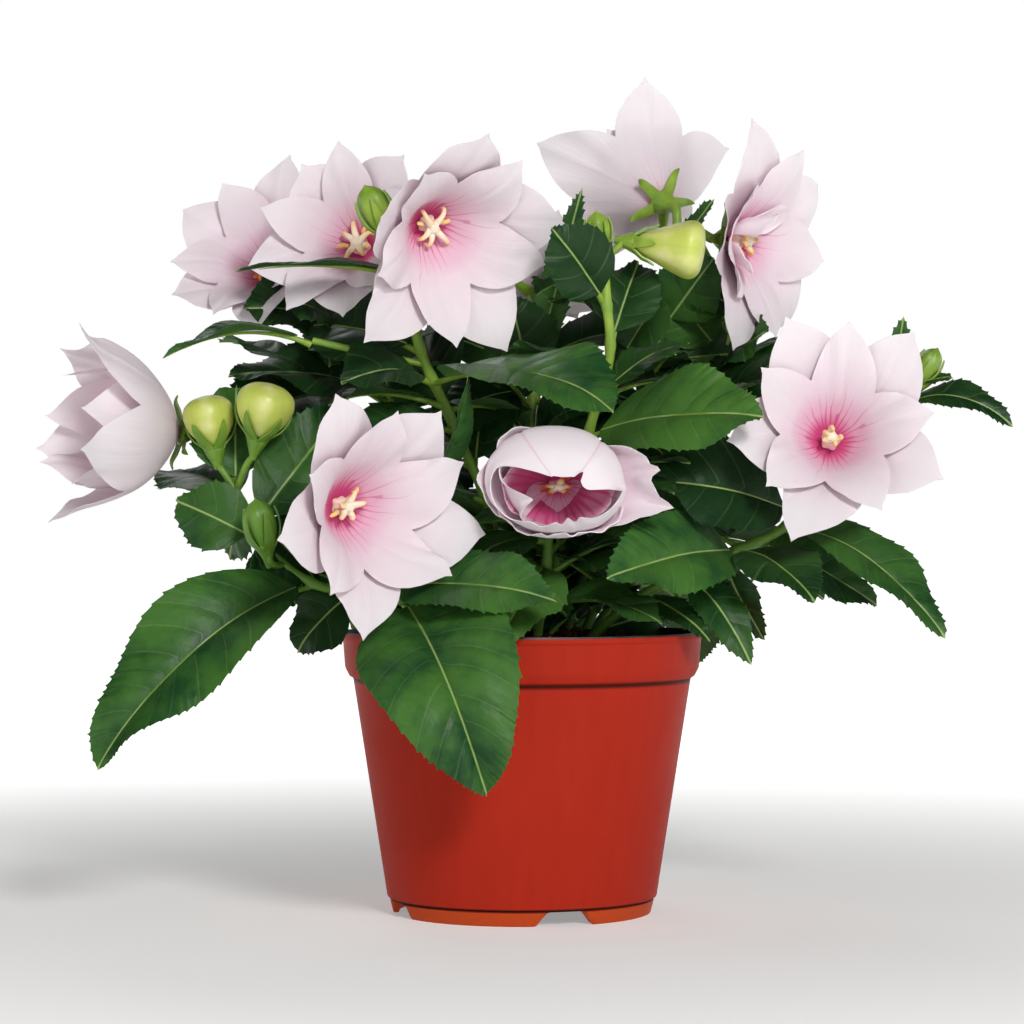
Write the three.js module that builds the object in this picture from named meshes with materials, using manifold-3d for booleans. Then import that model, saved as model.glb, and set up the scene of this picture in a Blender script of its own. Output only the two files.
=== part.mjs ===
// A potted balloon flower (Platycodon): a round plastic nursery pot full of potting mix, leafy stems
// that stand in the mix, ten double pink blooms, three balloon buds and the small green buds.
// Millimetres, +Z up. The origin is on the pot's axis at the surface that the pot stands on, and -Y is
// the front. Directions are pairs [azimuth, elevation] in degrees: azimuth 0 looks out to the front,
// 90 to +X and 180 to the back.
import * as THREE from "three";
import { mergeVertices } from "three/addons/utils/BufferGeometryUtils.js";
import Module from "manifold-3d";

const wasm = await Module();
wasm.setup();

// Pot: one thin moulding with a collar, a stepped foot ring with four arches, and drain holes.
const POT_HEIGHT = 93;
const POT_RIM_RADIUS = 60;
const POT_WALL = 1.3;
const POT_SIDES = 32;
const COLLAR_HEIGHT = 15;
const LIP_HEIGHT = 1;
const COLLAR_FOOT_RADIUS = 58.4;
const BODY_TOP_RADIUS = 55.7;
const BODY_FOOT_RADIUS = 44.6;
const COLLAR_STEP = 1.2;
const INNER_STEP = 0.6;
const FOOT_HEIGHT = 5;
const FOOT_RADIUS = 42.6;
const FOOT_FLARE = 1.1;
const FOOT_GROOVE = 0.5;
const FOOT_WALL = 1.8;
const FLOOR_TOP = 6.6;
const FOOT_ARCHES = 4;
const FOOT_ARCH_WIDTH = 20;
const FOOT_ARCH_TOP_WIDTH = 12;
const FOOT_ARCH_HEIGHT = 4.9;
const FIRST_ARCH_AZIMUTH = 19;
const ARCH_CUT_DEPTH = 11;
const DRAIN_HOLES = 5;
const DRAIN_HOLE_SIDES = 6;
const DRAIN_HOLE_RADIUS = 3.5;
const DRAIN_HOLE_CIRCLE = 30;

// Potting mix, and the plain holes that the stems stand in.
const SOIL_SIDES = 18;
const SOIL_TOP = 84;
const SOIL_MOUND = 2.5;
const SOIL_CREST_RADIUS = 20;
const SOIL_SHOULDER_RADIUS = 38;
const SOIL_SHOULDER_SHARE = 0.6;
const SOIL_EDGE_DROP = 1;
const SOIL_LUMP = 1.1;
const SOIL_LUMPS = [5, 3];
const SOIL_WALL_GAP = 1;
const SEAT_GAP = 0.3;
const STEM_HOLE_GAP = 0.5;

// Stems, leaves, blooms and buds.
const STEM_RADIUS = 1.6;
const BRANCH_RADIUS = 1.15;
const STEM_SIDES = 5;
const BRANCH_SIDES = 4;
const RINGS_PER_SPAN = 1.3;
const LEAF_THICKNESS = 0.8;
const LEAF_STALK = 5;
const LEAF_STALK_HALF_WIDTH = 1.1;
const LEAF_FOLD = 16;
const LEAF_TOOTH = 1.6;
const TOOTH_PITCH = 14;
const FEWEST_TEETH = 3;
const MOST_TEETH = 5;
const TOOTH_POINT = 0.72;
const PETAL_THICKNESS = 0.8;
const PETALS = 5;
const NOTCH_SHARE = 0.58;
const THROAT_SHARE = 0.06;
const BELL_SHARE = 0.36;
const BELLY_SHARE = 0.7;
const SHOULDER_OFFSET = 0.5;
const LOBE_ROUNDNESS = 1.1;
const LEAN_START = 0.4;
const PETAL_STEPS = 24;
const INNER_RING_SCALE = 0.84;
const INNER_RING_TIGHTER = 7;
const INNER_RING_LIFT = 1.5;
const CORE_RADIUS = 2.6;
const CORE_HEIGHT = 2.6;
const CORE_SIDES = 5;
const CALYX_LENGTH = 7;
const STRAIGHT_END = 5;
const CALYX_RADIUS = 4.4;
const BALLOON_CALYX_RADIUS = 3.5;
const SEPAL_INSET = 2;
const OVARY_HEIGHT = 1.2;
const OVARY_RADIUS = 2.2;
const OVARY_TOP_RADIUS = 1.5;
const STYLE_HEIGHT = 11;
const STYLE_RADIUS = 0.9;
const STYLE_TOP_RADIUS = 1.1;
const STIGMA_HEIGHT = 10.2;

// Five-armed stars: how far the arms reach and rise, how far out they part, and how thick they are.
const BLOOM_SEPALS = { reach: 12.9, rise: 3.1, footReach: 3.6, thickness: 0.8 };
const BALLOON_SEPALS = { reach: 9.1, rise: 7, footReach: 3, thickness: 1 };
const STIGMA = { reach: 3.6, rise: 0.4, footReach: 1.4, thickness: 0.8 };
const STAMENS = { reach: 8, rise: 6.6, footReach: 2, thickness: 1 };

const TERRACOTTA = { color: 0xa82c1e, roughness: 0.45, metalness: 0 };
const POTTING_MIX = { color: 0x3a2418, roughness: 0.95, metalness: 0 };
const LEAF_GREEN = { color: 0x2c5a2a, roughness: 0.5, metalness: 0 };
const PETAL_PINK = { color: 0xe9d3dc, roughness: 0.6, metalness: 0 };
const POLLEN_CREAM = { color: 0xe8c98c, roughness: 0.6, metalness: 0 };
const BUD_LIME = { color: 0xc9d45a, roughness: 0.45, metalness: 0 };

// Radius of a green bud and the height along it, both in bud radii.
const BUD_PROFILE = [[0, -0.5], [0.4, -0.3], [0.9, 0.7], [1, 1.5], [0.55, 2.2], [0, 2.6]];
const BUD_RIBS = 3;
const BUD_RIB_DEPTH = 0.14;

// Radius of a balloon bud in half-widths, and the height along it in lengths.
const BALLOON_PROFILE = [[0, 0], [0.2, 0], [0.62, 0.2], [0.95, 0.48], [1, 0.68], [0.72, 0.92], [0, 1]];
const BALLOON_FOLD_DEPTH = 0.1;

// How far each part of a petal leans away from the bloom's axis, from base to petal tip: degrees.
const STAR = [72, 39, 49, 69, 83];
const FLAT_STAR = [66, 55, 66, 82, 94];
const BELL = [70, 50, 30, 12, 38];
const CLOSING = [78, 58, 30, 0, -20];

// Blooms: where the corolla sits on its calyx, where it faces, its reach from the axis to a petal tip,
// how far it is open, the turn of its inner ring, and the share that its height is pressed to. For the
// five petals of each ring: how much more each leans out, how far its tip is turned round the axis, and
// the share of the full reach that it has.
const BLOOMS = {
  bloom_side_left: {
    base: [-112.8, -12, 158.6], facing: [-66, 4], length: 53, opening: BELL, roll: 15, pressed: 1,
    outer: { lean: [18, 0, 0, -6, -2], turn: [6, -4, 0, -2, 4], reach: [1.07, 0.9, 0.94, 1, 1] },
    inner: { lean: [-2, -40, 0, -12, 0], turn: [-4, 0, 14, -16, 0], reach: [1, 1.04, 1, 1.04, 1] },
  },
  bloom_far_left: {
    base: [-83.5, 37, 212], facing: [-28, 30], length: 41, opening: STAR, roll: 45, pressed: 1,
    outer: { lean: [0, 0, -4, 0, 0], turn: [0, 0, -10, -4, 0], reach: [1, 1, 0.88, 1, 1] },
    inner: { lean: [0, -2, 0, 0, 0], turn: [0, 8, 4, 0, 0], reach: [1, 1.06, 1.02, 1, 1] },
  },
  bloom_upper_left: {
    base: [-52, 4, 219.5], facing: [-22, 16], length: 39, opening: STAR, roll: 22, pressed: 1,
    outer: { lean: [0, 2, 0, -4, 0], turn: [-6, -4, 0, 4, 0], reach: [0.92, 0.86, 1, 0.88, 1] },
    inner: { lean: [0, 0, 0, 6, 0], turn: [0, 4, 0, 4, 0], reach: [1, 1.1, 1.08, 1.14, 1] },
  },
  bloom_upper_middle: {
    base: [-32, -34.5, 226], facing: [31, -23], length: 47, opening: STAR, roll: -16, pressed: 1,
    outer: { lean: [0, -4, 0, 2, 0], turn: [-8, -6, 0, -4, -2], reach: [0.96, 0.92, 1, 1.02, 1.02] },
    inner: { lean: [0, 2, 0, 0, -2], turn: [8, 4, 0, 0, 8], reach: [1.04, 1.02, 1, 1, 1.04] },
  },
  bloom_upper_back: {
    base: [47.5, 28, 238], facing: [-154, 25], length: 43, opening: STAR, roll: 51, pressed: 1,
    outer: { lean: [0, 0, 0, 0, 0], turn: [-2, 2, 0, 0, 0], reach: [0.96, 1, 1, 1, 1.04] },
    inner: { lean: [0, 2, -4, 6, 0], turn: [0, 0, 0, 0, 0], reach: [1, 1, 1, 1, 1] },
  },
  bloom_upper_right: {
    base: [69, 11, 223.5], facing: [55, -7], length: 40, opening: FLAT_STAR, roll: 68, pressed: 1,
    outer: { lean: [10, -50, -14, 16, 8], turn: [4, 0, 0, -4, 2], reach: [1.06, 0.8, 1, 0.98, 1] },
    inner: { lean: [-6, -60, -30, 0, -10], turn: [0, 0, 0, 0, -2], reach: [1.1, 0.8, 0.9, 1, 1.08] },
  },
  bloom_right: {
    base: [99.4, -26, 154.5], facing: [1, 15], length: 44.5, opening: STAR, roll: 6, pressed: 1,
    outer: { lean: [0, 0, 0, 0, 0], turn: [8, 0, 4, -10, 0], reach: [1.02, 0.98, 0.92, 1.04, 0.97] },
    inner: { lean: [0, 0, -2, 0, 0], turn: [0, 4, -8, 0, 0], reach: [1, 1.08, 0.97, 1, 1.02] },
  },
  bloom_front_left: {
    base: [-59.1, -63.5, 134.5], facing: [40, -4], length: 47, opening: STAR, roll: 16, pressed: 1,
    outer: { lean: [0, -4, 2, 2, 0], turn: [2, -6, -4, -6, 10], reach: [0.93, 0.97, 1, 0.97, 1.03] },
    inner: { lean: [0, -4, 0, 0, -4], turn: [10, -4, 0, 0, 20], reach: [1.05, 0.97, 1, 1, 1.05] },
  },
  bloom_front: {
    base: [11, -56, 141], facing: [3, -6], length: 47, opening: CLOSING, roll: 18, pressed: 0.64,
    outer: { lean: [-30, -45, 15, 0, 60], turn: [0, 0, 10, 0, 0], reach: [0.9, 0.9, 1, 0.94, 1] },
    inner: { lean: [-50, -75, -50, 0, 5], turn: [0, 0, 0, 0, 0], reach: [1, 1, 1, 0.8, 0.8] },
  },
  bloom_back: {
    base: [6, 30, 206], facing: [175, 38], length: 33, opening: STAR, roll: 30, pressed: 1,
    outer: { lean: [4, -4, 8, 0, 4], turn: [4, 0, -4, 0, 2], reach: [1, 0.96, 1, 1, 0.98] },
    inner: { lean: [0, 4, -4, 6, 0], turn: [0, 4, 0, -4, 0], reach: [1, 1, 0.97, 1, 1] },
  },
};

// Balloon buds: where they sit on their calyx, where they point, and their length and width.
const BALLOONS = {
  balloon_left: { base: [-99.5, -27, 153], facing: [-90, 80], length: 17, width: 17 },
  balloon_second: { base: [-85, -36, 156], facing: [60, 74], length: 18, width: 19 },
  balloon_upper: { base: [36.5, -34, 219], facing: [82, -8], length: 22, width: 19 },
};

// Stems. A route starts in the mix and runs through its way points. With a bloom, it ends in the bloom's
// calyx. A branch starts at a place on the route, and ends in a balloon or in a green bud.
// A leaf row is: the place where it leaves, its tip, its width, its arch, where its upper side faces,
// and the branch that it is on, counted from 1, if it isn't on the main route. A place on a line is
// counted in way points, from 0.
const STEMS = {
  stem_left: {
    route: [[-14, -6, 70], [-18, -9, 88], [-40, -22, 104], [-66, -34, 109], [-82, -35, 121],
      [-92.5, -28, 139]],
    bloom: "bloom_side_left",
    branches: [
      { from: 5, route: [[-97, -28, 146]], balloon: "balloon_left" },
      { from: 5, route: [[-89, -33, 147]], balloon: "balloon_second" },
      { from: 3.6, route: [[-80, -42, 116], [-82, -43, 122]], bud: 6.2, points: [-30, 70] },
    ],
    leaves: [
      [3.1, [-133, -62, 51.7], 44, 14, [-20, 30]],
      [2.5, [-72.6, -30, 87], 24, 4, [-20, 20]],
      [4.4, [-57, -12, 168], 27, 3, [10, 20]],
      [4.8, [-120, 24, 146], 30, 4, [-20, 60]],
      [4.7, [-95.7, -14, 117], 18, 3, [-10, 20]],
      [1.6, [-66, -8, 96], 26, 7, [-70, 60]],
    ],
  },
  stem_front_left: {
    route: [[-9, -16, 70], [-12, -24, 90], [-38, -40, 104], [-60, -48, 120]],
    bloom: "bloom_front_left",
    branches: [],
    leaves: [
      [2, [-11, -82, 45.3], 54, 20, [0, 25]],
      [2.2, [10.5, -80, 104.7], 30, 6, [-5, 45]],
      [2.5, [-17, -56, 176], 22, 7, [80, 0]],
    ],
  },
  stem_front: {
    route: [[4, -19, 70], [5, -23, 92], [8, -30, 118], [8, -36, 136]],
    bloom: "bloom_front",
    branches: [],
    leaves: [
      [1.9, [-8, -67, 90], 28, 5, [10, 40]],
      [2.3, [-24, -54, 112], 26, 4, [-30, 60]],
      [1.4, [44, -54, 97], 26, 6, [20, 55]],
    ],
  },
  stem_right: {
    route: [[16, -8, 70], [22, -10, 90], [44, -18, 108], [70, -22, 120], [86, -20, 128], [97, -12, 142]],
    bloom: "bloom_right",
    branches: [
      { from: 4.2, route: [[106, -10, 146], [121, -14, 165], [130, -18, 176]], bud: 4.5, points: [90, 60] },
    ],
    leaves: [
      [3, [26, -74, 112], 33, 5, [5, 28]],
      [3.3, [116.6, -10, 101.5], 28, 4, [-10, 45]],
      [4, [134.4, -45, 92.3], 27, 9, [20, 45]],
      [2.8, [79, -20, 90.7], 15, 3, [-40, 20]],
      [4.3, [42, -40, 142], 36, 6, [-20, 30]],
      [3, [92, -56, 104], 28, 5, [10, 50]],
      [2.3, [73.4, -36, 83.3], 17, 6, [10, 40]],
      [1.8, [60, -41, 91], 11, 4, [10, 40]],
      [2, [159, -25, 160], 16, 9, [0, 60], 1],
      [2.1, [124, -22, 196], 10, 2, [-20, 10], 1],
      [2.6, [140, -22, 176], 8, 2, [20, 60], 1],
    ],
  },
  stem_upper_right: {
    route: [[17, 4, 70], [20, 5, 90], [40, 14, 130], [62, 24, 170], [70, 28, 200]],
    bloom: "bloom_upper_right",
    branches: [],
    leaves: [
      [2.7, [84, -20, 176], 34, 6, [-20, 45]],
      [2.2, [98, 26, 138], 32, 8, [90, 60]],
      [3.3, [104, 36, 188], 26, 6, [110, 60]],
      [1.8, [76, 22, 104], 30, 8, [90, 60]],
      [1.5, [64, -2, 136], 34, 6, [20, 40]],
      [3.6, [69, 62, 208], 24, 6, [170, 60]],
    ],
  },
  stem_upper_back: {
    route: [[12, 13, 70], [15, 14, 92], [30, 18, 140], [46, 20, 190], [51, 18, 215]],
    bloom: "bloom_upper_back",
    branches: [],
    leaves: [
      [3.6, [81, 14, 194.5], 19, 5, [0, 45]],
      [4.1, [64, 5, 236.6], 8, 2, [0, 40]],
      [2.6, [34, 68, 176], 34, 9, [170, 60]],
      [3.1, [58, 66, 186], 26, 6, [150, 60]],
    ],
  },
  stem_middle: {
    route: [[7, -4, 70], [8, -6, 92], [14, -16, 130], [22, -28, 160], [28, -35, 182], [27, -38, 200],
      [26, -37, 213]],
    branches: [
      { from: 6, route: [[32, -34, 219]], balloon: "balloon_upper" },
      { from: 5.8, route: [[25, -33, 218]], bud: 4.6, points: [-20, 70] },
    ],
    leaves: [
      [2.9, [75.5, -62, 162], 40, 6, [0, 38]],
      [4.9, [9, -55, 222], 27, 3, [0, 15]],
      [4.2, [38, -18, 214], 25, 3, [0, 20]],
      [2.3, [48, -52, 138], 26, 5, [10, 60]],
      [1.6, [44, -28, 119], 30, 6, [20, 50]],
      [3.4, [54, -28, 187], 18, 4, [0, 60]],
    ],
  },
  stem_upper_middle: {
    route: [[-3, -5, 70], [-4, -6, 92], [-10, -10, 130], [-22, -16, 160], [-33, -25, 185],
      [-36.5, -31.5, 207]],
    bloom: "bloom_upper_middle",
    branches: [
      { from: 4.9, route: [[-41, -34, 214], [-44.5, -37, 223.5]], bud: 6, points: [-50, 60] },
      { from: 3.8, route: [[-50, -24, 184], [-68, -24, 188]] },
    ],
    leaves: [
      [3.6, [28, -75, 163], 44, 10, [35, 50]],
      [2, [-116, -30, 182], 20, 6, [0, 86], 2],
      [5.1, [-92.5, -36, 209.4], 15, 3, [0, 80]],
      [3.6, [-57.6, -42, 173], 30, 5, [-10, 50]],
      [3.2, [-32, 26, 196], 36, 4, [-60, 40]],
      [4, [-72, 10, 194], 34, 5, [-70, 50]],
      [3, [-54, -34, 152], 28, 5, [-10, 50]],
      [2.2, [-42, -36, 134], 26, 5, [-20, 60]],
      [1.5, [-36, -28, 110], 32, 6, [-10, 40]],
      [1.2, [-24, -40, 98], 26, 5, [0, 50]],
    ],
  },
  stem_upper_left: {
    route: [[-10, 3, 70], [-12, 4, 92], [-22, 8, 135], [-44, 14, 170], [-56, 20, 192], [-56, 24, 208]],
    bloom: "bloom_upper_left",
    branches: [],
    leaves: [
      [3, [-97, -4, 177], 34, 6, [0, 60]],
      [2.3, [-64, -14, 140], 28, 6, [-50, 60]],
      [1.6, [-52, -16, 116], 34, 6, [-20, 40]],
    ],
  },
  stem_far_left: {
    route: [[-19, 3, 70], [-22, 4, 92], [-36, 12, 130], [-58, 26, 165], [-70, 36, 190]],
    bloom: "bloom_far_left",
    branches: [],
    leaves: [
      [2, [-92, 8, 112], 34, 9, [-80, 60]],
      [2.8, [-106, 40, 150], 34, 8, [-90, 60]],
      [3.3, [-98, -8, 160], 32, 5, [-10, 30]],
      [3.2, [-106, 64, 192], 28, 7, [-140, 60]],
      [1.5, [-72, 30, 88], 30, 9, [-100, 60]],
    ],
  },
  stem_back: {
    route: [[0, 8, 70], [0, 9, 92], [2, 14, 140], [4, 16, 180]],
    bloom: "bloom_back",
    branches: [],
    leaves: [
      [2.9, [20, 0, 240], 13, 2, [0, 20]],
      [2.7, [40, 2, 168], 32, 6, [10, 40]],
      [3.1, [42, 36, 190], 24, 8, [70, 50]],
      [2.8, [-30, 4, 160], 34, 5, [-10, 40]],
      [2.4, [-22, 48, 176], 28, 6, [-160, 60]],
      [2, [-8, 56, 150], 30, 8, [180, 60]],
    ],
  },
  stem_rear_left: {
    route: [[-12, 15, 70], [-14, 18, 92], [-30, 40, 130], [-44, 56, 160], [-50, 62, 180]],
    branches: [{ from: 4, route: [[-51, 64, 188]], bud: 5, points: [-150, 80] }],
    leaves: [
      [1.6, [-56, 78, 84], 42, 12, [-150, 50]],
      [2.2, [-84, 62, 128], 34, 9, [-120, 60]],
      [2.9, [-30, 96, 142], 32, 9, [180, 60]],
      [3.6, [-84, 72, 176], 26, 7, [-120, 60]],
      [3.8, [-34, 86, 196], 20, 4, [180, 40]],
    ],
  },
  stem_rear: {
    route: [[3, 19, 70], [4, 22, 92], [8, 46, 122], [8, 62, 150], [6, 68, 170]],
    branches: [{ from: 4, route: [[5, 70, 178]], bud: 5.4, points: [180, 80] }],
    leaves: [
      [1.5, [8, 98, 70], 44, 14, [180, 40]],
      [2.3, [-20, 92, 112], 30, 8, [-170, 60]],
      [2.8, [36, 107, 134], 32, 8, [160, 60]],
      [3.7, [22, 96, 182], 20, 5, [170, 50]],
    ],
  },
  stem_rear_right: {
    route: [[21, 14, 70], [24, 18, 92], [48, 40, 120], [66, 52, 148], [72, 56, 166]],
    branches: [{ from: 4, route: [[74, 58, 174]], bud: 5, points: [130, 80] }],
    leaves: [
      [1.6, [62, 76, 78], 40, 12, [140, 50]],
      [2.1, [104, 44, 102], 36, 10, [100, 60]],
      [2.7, [56, 96, 132], 30, 8, [160, 60]],
      [1.6, [-10, 44, 118], 30, 5, [-30, 40]],
      [3.2, [112, 62, 146], 30, 8, [110, 60]],
      [3.8, [86, 84, 176], 20, 5, [130, 50]],
    ],
  },
};

const vector = (point) => new THREE.Vector3(...point);
const radians = THREE.MathUtils.degToRad;

function heading([azimuth, elevation]) {
  const [a, e] = [radians(azimuth), radians(elevation)];
  return new THREE.Vector3(Math.sin(a) * Math.cos(e), -Math.cos(a) * Math.cos(e), Math.sin(e));
}

// A frame whose z axis points along a direction, x to the right of someone who looks at it from there.
function frameAt(base, facing) {
  const along = heading(facing);
  const right = heading([facing[0] + 90, 0]);
  const up = new THREE.Vector3().crossVectors(along, right);
  return new THREE.Matrix4().makeBasis(right, up, along).setPosition(...base);
}

function solidOf(geometry) {
  geometry.deleteAttribute("normal");
  geometry.deleteAttribute("uv");
  const merged = mergeVertices(geometry, 1e-4);
  const mesh = new wasm.Mesh({
    numProp: 3,
    vertProperties: merged.attributes.position.array,
    triVerts: new Uint32Array(merged.index.array),
  });
  return new wasm.Manifold(mesh);
}

const joined = (solids) => solids.reduce((whole, solid) => whole.add(solid));

function meshOf(solid, name, look) {
  const { vertProperties, triVerts } = solid.getMesh();
  const geometry = new THREE.BufferGeometry();
  geometry.setAttribute("position", new THREE.BufferAttribute(vertProperties, 3));
  geometry.setIndex(new THREE.BufferAttribute(triVerts, 1));
  const mesh = new THREE.Mesh(geometry, new THREE.MeshStandardMaterial(look));
  mesh.name = name;
  return mesh;
}

// A thin sheet with the same triangles on both faces: points with their normals, the triangles of the
// upper face, and the outline that runs round it anticlockwise as seen from above.
function sheet(points, normals, triangles, outline, thickness) {
  const count = points.length;
  const upper = points.map((p, i) => p.clone().addScaledVector(normals[i], thickness / 2));
  const lower = points.map((p, i) => p.clone().addScaledVector(normals[i], -thickness / 2));
  const faces = triangles.flatMap(([a, b, c]) => [[a, b, c], [a + count, c + count, b + count]]);
  outline.forEach((a, i) => {
    const b = outline[(i + 1) % outline.length];
    faces.push([a, a + count, b + count], [a, b + count, b]);
  });
  const geometry = new THREE.BufferGeometry().setFromPoints([...upper, ...lower]);
  geometry.setIndex(faces.flat());
  return solidOf(geometry);
}

// A smooth line through points. A place on it is counted in points, from 0.
const lineThrough = (points) => new THREE.CatmullRomCurve3(points, false, "catmullrom", 0.5);
const pointOn = (points, place) => lineThrough(points).getPoint(place / (points.length - 1));

function tube(points, radius, sides) {
  const corners = Array.from({ length: sides }, (_, i) => {
    const turn = (2 * Math.PI * i) / sides;
    return new THREE.Vector2(radius * Math.cos(turn), radius * Math.sin(turn));
  });
  const steps = Math.ceil((points.length - 1) * RINGS_PER_SPAN);
  const extrudePath = lineThrough(points);
  return solidOf(new THREE.ExtrudeGeometry(new THREE.Shape(corners), { steps, extrudePath }));
}

// A straight round bar or cone between two points.
function bar(start, end, startRadius, endRadius, sides) {
  const length = start.distanceTo(end);
  const geometry = new THREE.CylinderGeometry(endRadius, startRadius, length, sides);
  const turn = new THREE.Quaternion().setFromUnitVectors(
    new THREE.Vector3(0, 1, 0), new THREE.Vector3().subVectors(end, start).normalize());
  geometry.translate(0, length / 2, 0).applyQuaternion(turn).translate(...start);
  return solidOf(geometry);
}

// A profile of points [radius, height] that starts and ends on the axis, turned about +Z.
function turned(profile, sides) {
  const points = profile.map(([radius, height]) => new THREE.Vector2(radius, height));
  return new THREE.LatheGeometry(points, sides).rotateX(Math.PI / 2);
}

function reshaped(geometry, change) {
  const places = geometry.attributes.position;
  const point = new THREE.Vector3();
  for (let i = 0; i < places.count; i++) {
    point.fromBufferAttribute(places, i);
    change(point, Math.atan2(point.y, point.x));
    places.setXYZ(i, point.x, point.y, point.z);
  }
  return geometry;
}

// Draws the surface in along evenly spaced folds, from the axis out.
const foldedIn = (folds, depth) => (point, turn) => {
  const inward = 1 - (depth * (1 - Math.cos(folds * turn))) / 2;
  point.x *= inward;
  point.y *= inward;
};

// Share of a leaf's half-width at a share of the blade's length: egg-shaped, with a drawn-out tip.
const leafOutline = (share) => (share ** 0.62 * (1 - share) ** 0.88) / 0.366;

// A toothed leaf. Its midrib arches from its root in the stem to its tip, and its two halves rise from
// the midrib in a shallow V.
function leaf(root, tip, width, arch, facing) {
  const face = heading(facing);
  const crest = new THREE.Vector3().addVectors(root, tip).multiplyScalar(0.5);
  crest.addScaledVector(face, 2 * arch);
  const midrib = new THREE.QuadraticBezierCurve3(root, crest, tip);
  const length = root.distanceTo(tip);
  const stalkShare = LEAF_STALK / length;
  const teeth = Math.round(THREE.MathUtils.clamp(length / TOOTH_PITCH, FEWEST_TEETH, MOST_TEETH));
  const fold = radians(LEAF_FOLD);
  const points = [];
  const normals = [];

  function place(t, across) {
    const tangent = midrib.getTangent(t);
    const side = new THREE.Vector3().crossVectors(tangent, face).normalize();
    const normal = new THREE.Vector3().crossVectors(side, tangent);
    const reach = Math.abs(across);
    points.push(midrib.getPoint(t)
      .addScaledVector(side, across * Math.cos(fold))
      .addScaledVector(normal, reach * Math.sin(fold) * (1 - reach / width)));
    normals.push(normal);
    return points.length - 1;
  }

  const along = (share) => stalkShare + (1 - stalkShare) * share;
  function edge(share, out) {
    const half = Math.max(LEAF_STALK_HALF_WIDTH, (width / 2) * leafOutline(share) + out);
    return [place(along(share), -half), place(along(share), half)];
  }

  const rootMiddle = place(0, 0);
  const left = [place(0, -LEAF_STALK_HALF_WIDTH)];
  const right = [place(0, LEAF_STALK_HALF_WIDTH)];
  let middle = place(along(0), 0);
  let [leftNotch, rightNotch] = edge(0, 0);
  const triangles = [
    [rootMiddle, right[0], rightNotch], [rootMiddle, rightNotch, middle],
    [rootMiddle, leftNotch, left[0]], [rootMiddle, middle, leftNotch],
  ];
  left.push(leftNotch);
  right.push(rightNotch);
  for (let tooth = 0; tooth < teeth - 1; tooth++) {
    const [leftTooth, rightTooth] = edge((tooth + TOOTH_POINT) / teeth, LEAF_TOOTH);
    const [nextLeft, nextRight] = edge((tooth + 1) / teeth, -LEAF_TOOTH / 2);
    const nextMiddle = place(along((tooth + 1) / teeth), 0);
    triangles.push([middle, rightNotch, rightTooth], [middle, rightTooth, nextMiddle]);
    triangles.push([nextMiddle, rightTooth, nextRight], [middle, leftTooth, leftNotch]);
    triangles.push([middle, nextMiddle, leftTooth], [nextMiddle, nextLeft, leftTooth]);
    left.push(leftTooth, nextLeft);
    right.push(rightTooth, nextRight);
    [leftNotch, rightNotch, middle] = [nextLeft, nextRight, nextMiddle];
  }
  const point = place(1, 0);
  triangles.push([middle, rightNotch, point], [middle, point, leftNotch]);
  const outline = [...right, point, ...left.reverse(), rootMiddle];
  return sheet(points, normals, triangles, outline, LEAF_THICKNESS);
}

// Radius and height of a petal ring at a share of the way along it from its base.
function petalProfile(opening, length, lean) {
  const steps = PETAL_STEPS;
  const line = [new THREE.Vector2(CORE_RADIUS, 0)];
  for (let i = 0; i < steps; i++) {
    const share = (i + 0.5) / steps;
    const place = share * (opening.length - 1);
    const before = Math.floor(place);
    const bend = THREE.MathUtils.smoothstep(share, LEAN_START, 1) * lean;
    const away = THREE.MathUtils.lerp(opening[before], opening[before + 1], place - before);
    const angle = radians(away + bend);
    const step = new THREE.Vector2(Math.sin(angle), Math.cos(angle)).multiplyScalar(length / steps);
    line.push(step.add(line[i]));
  }
  return (share) => {
    const before = Math.min(Math.floor(share * steps), steps - 1);
    return new THREE.Vector2().lerpVectors(line[before], line[before + 1], share * steps - before);
  };
}

// How far a petal reaches at a share of the way from its middle line to the notch beside it.
const petalReach = (offset) => 1 - (1 - NOTCH_SHARE) * offset ** LOBE_ROUNDNESS;

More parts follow.
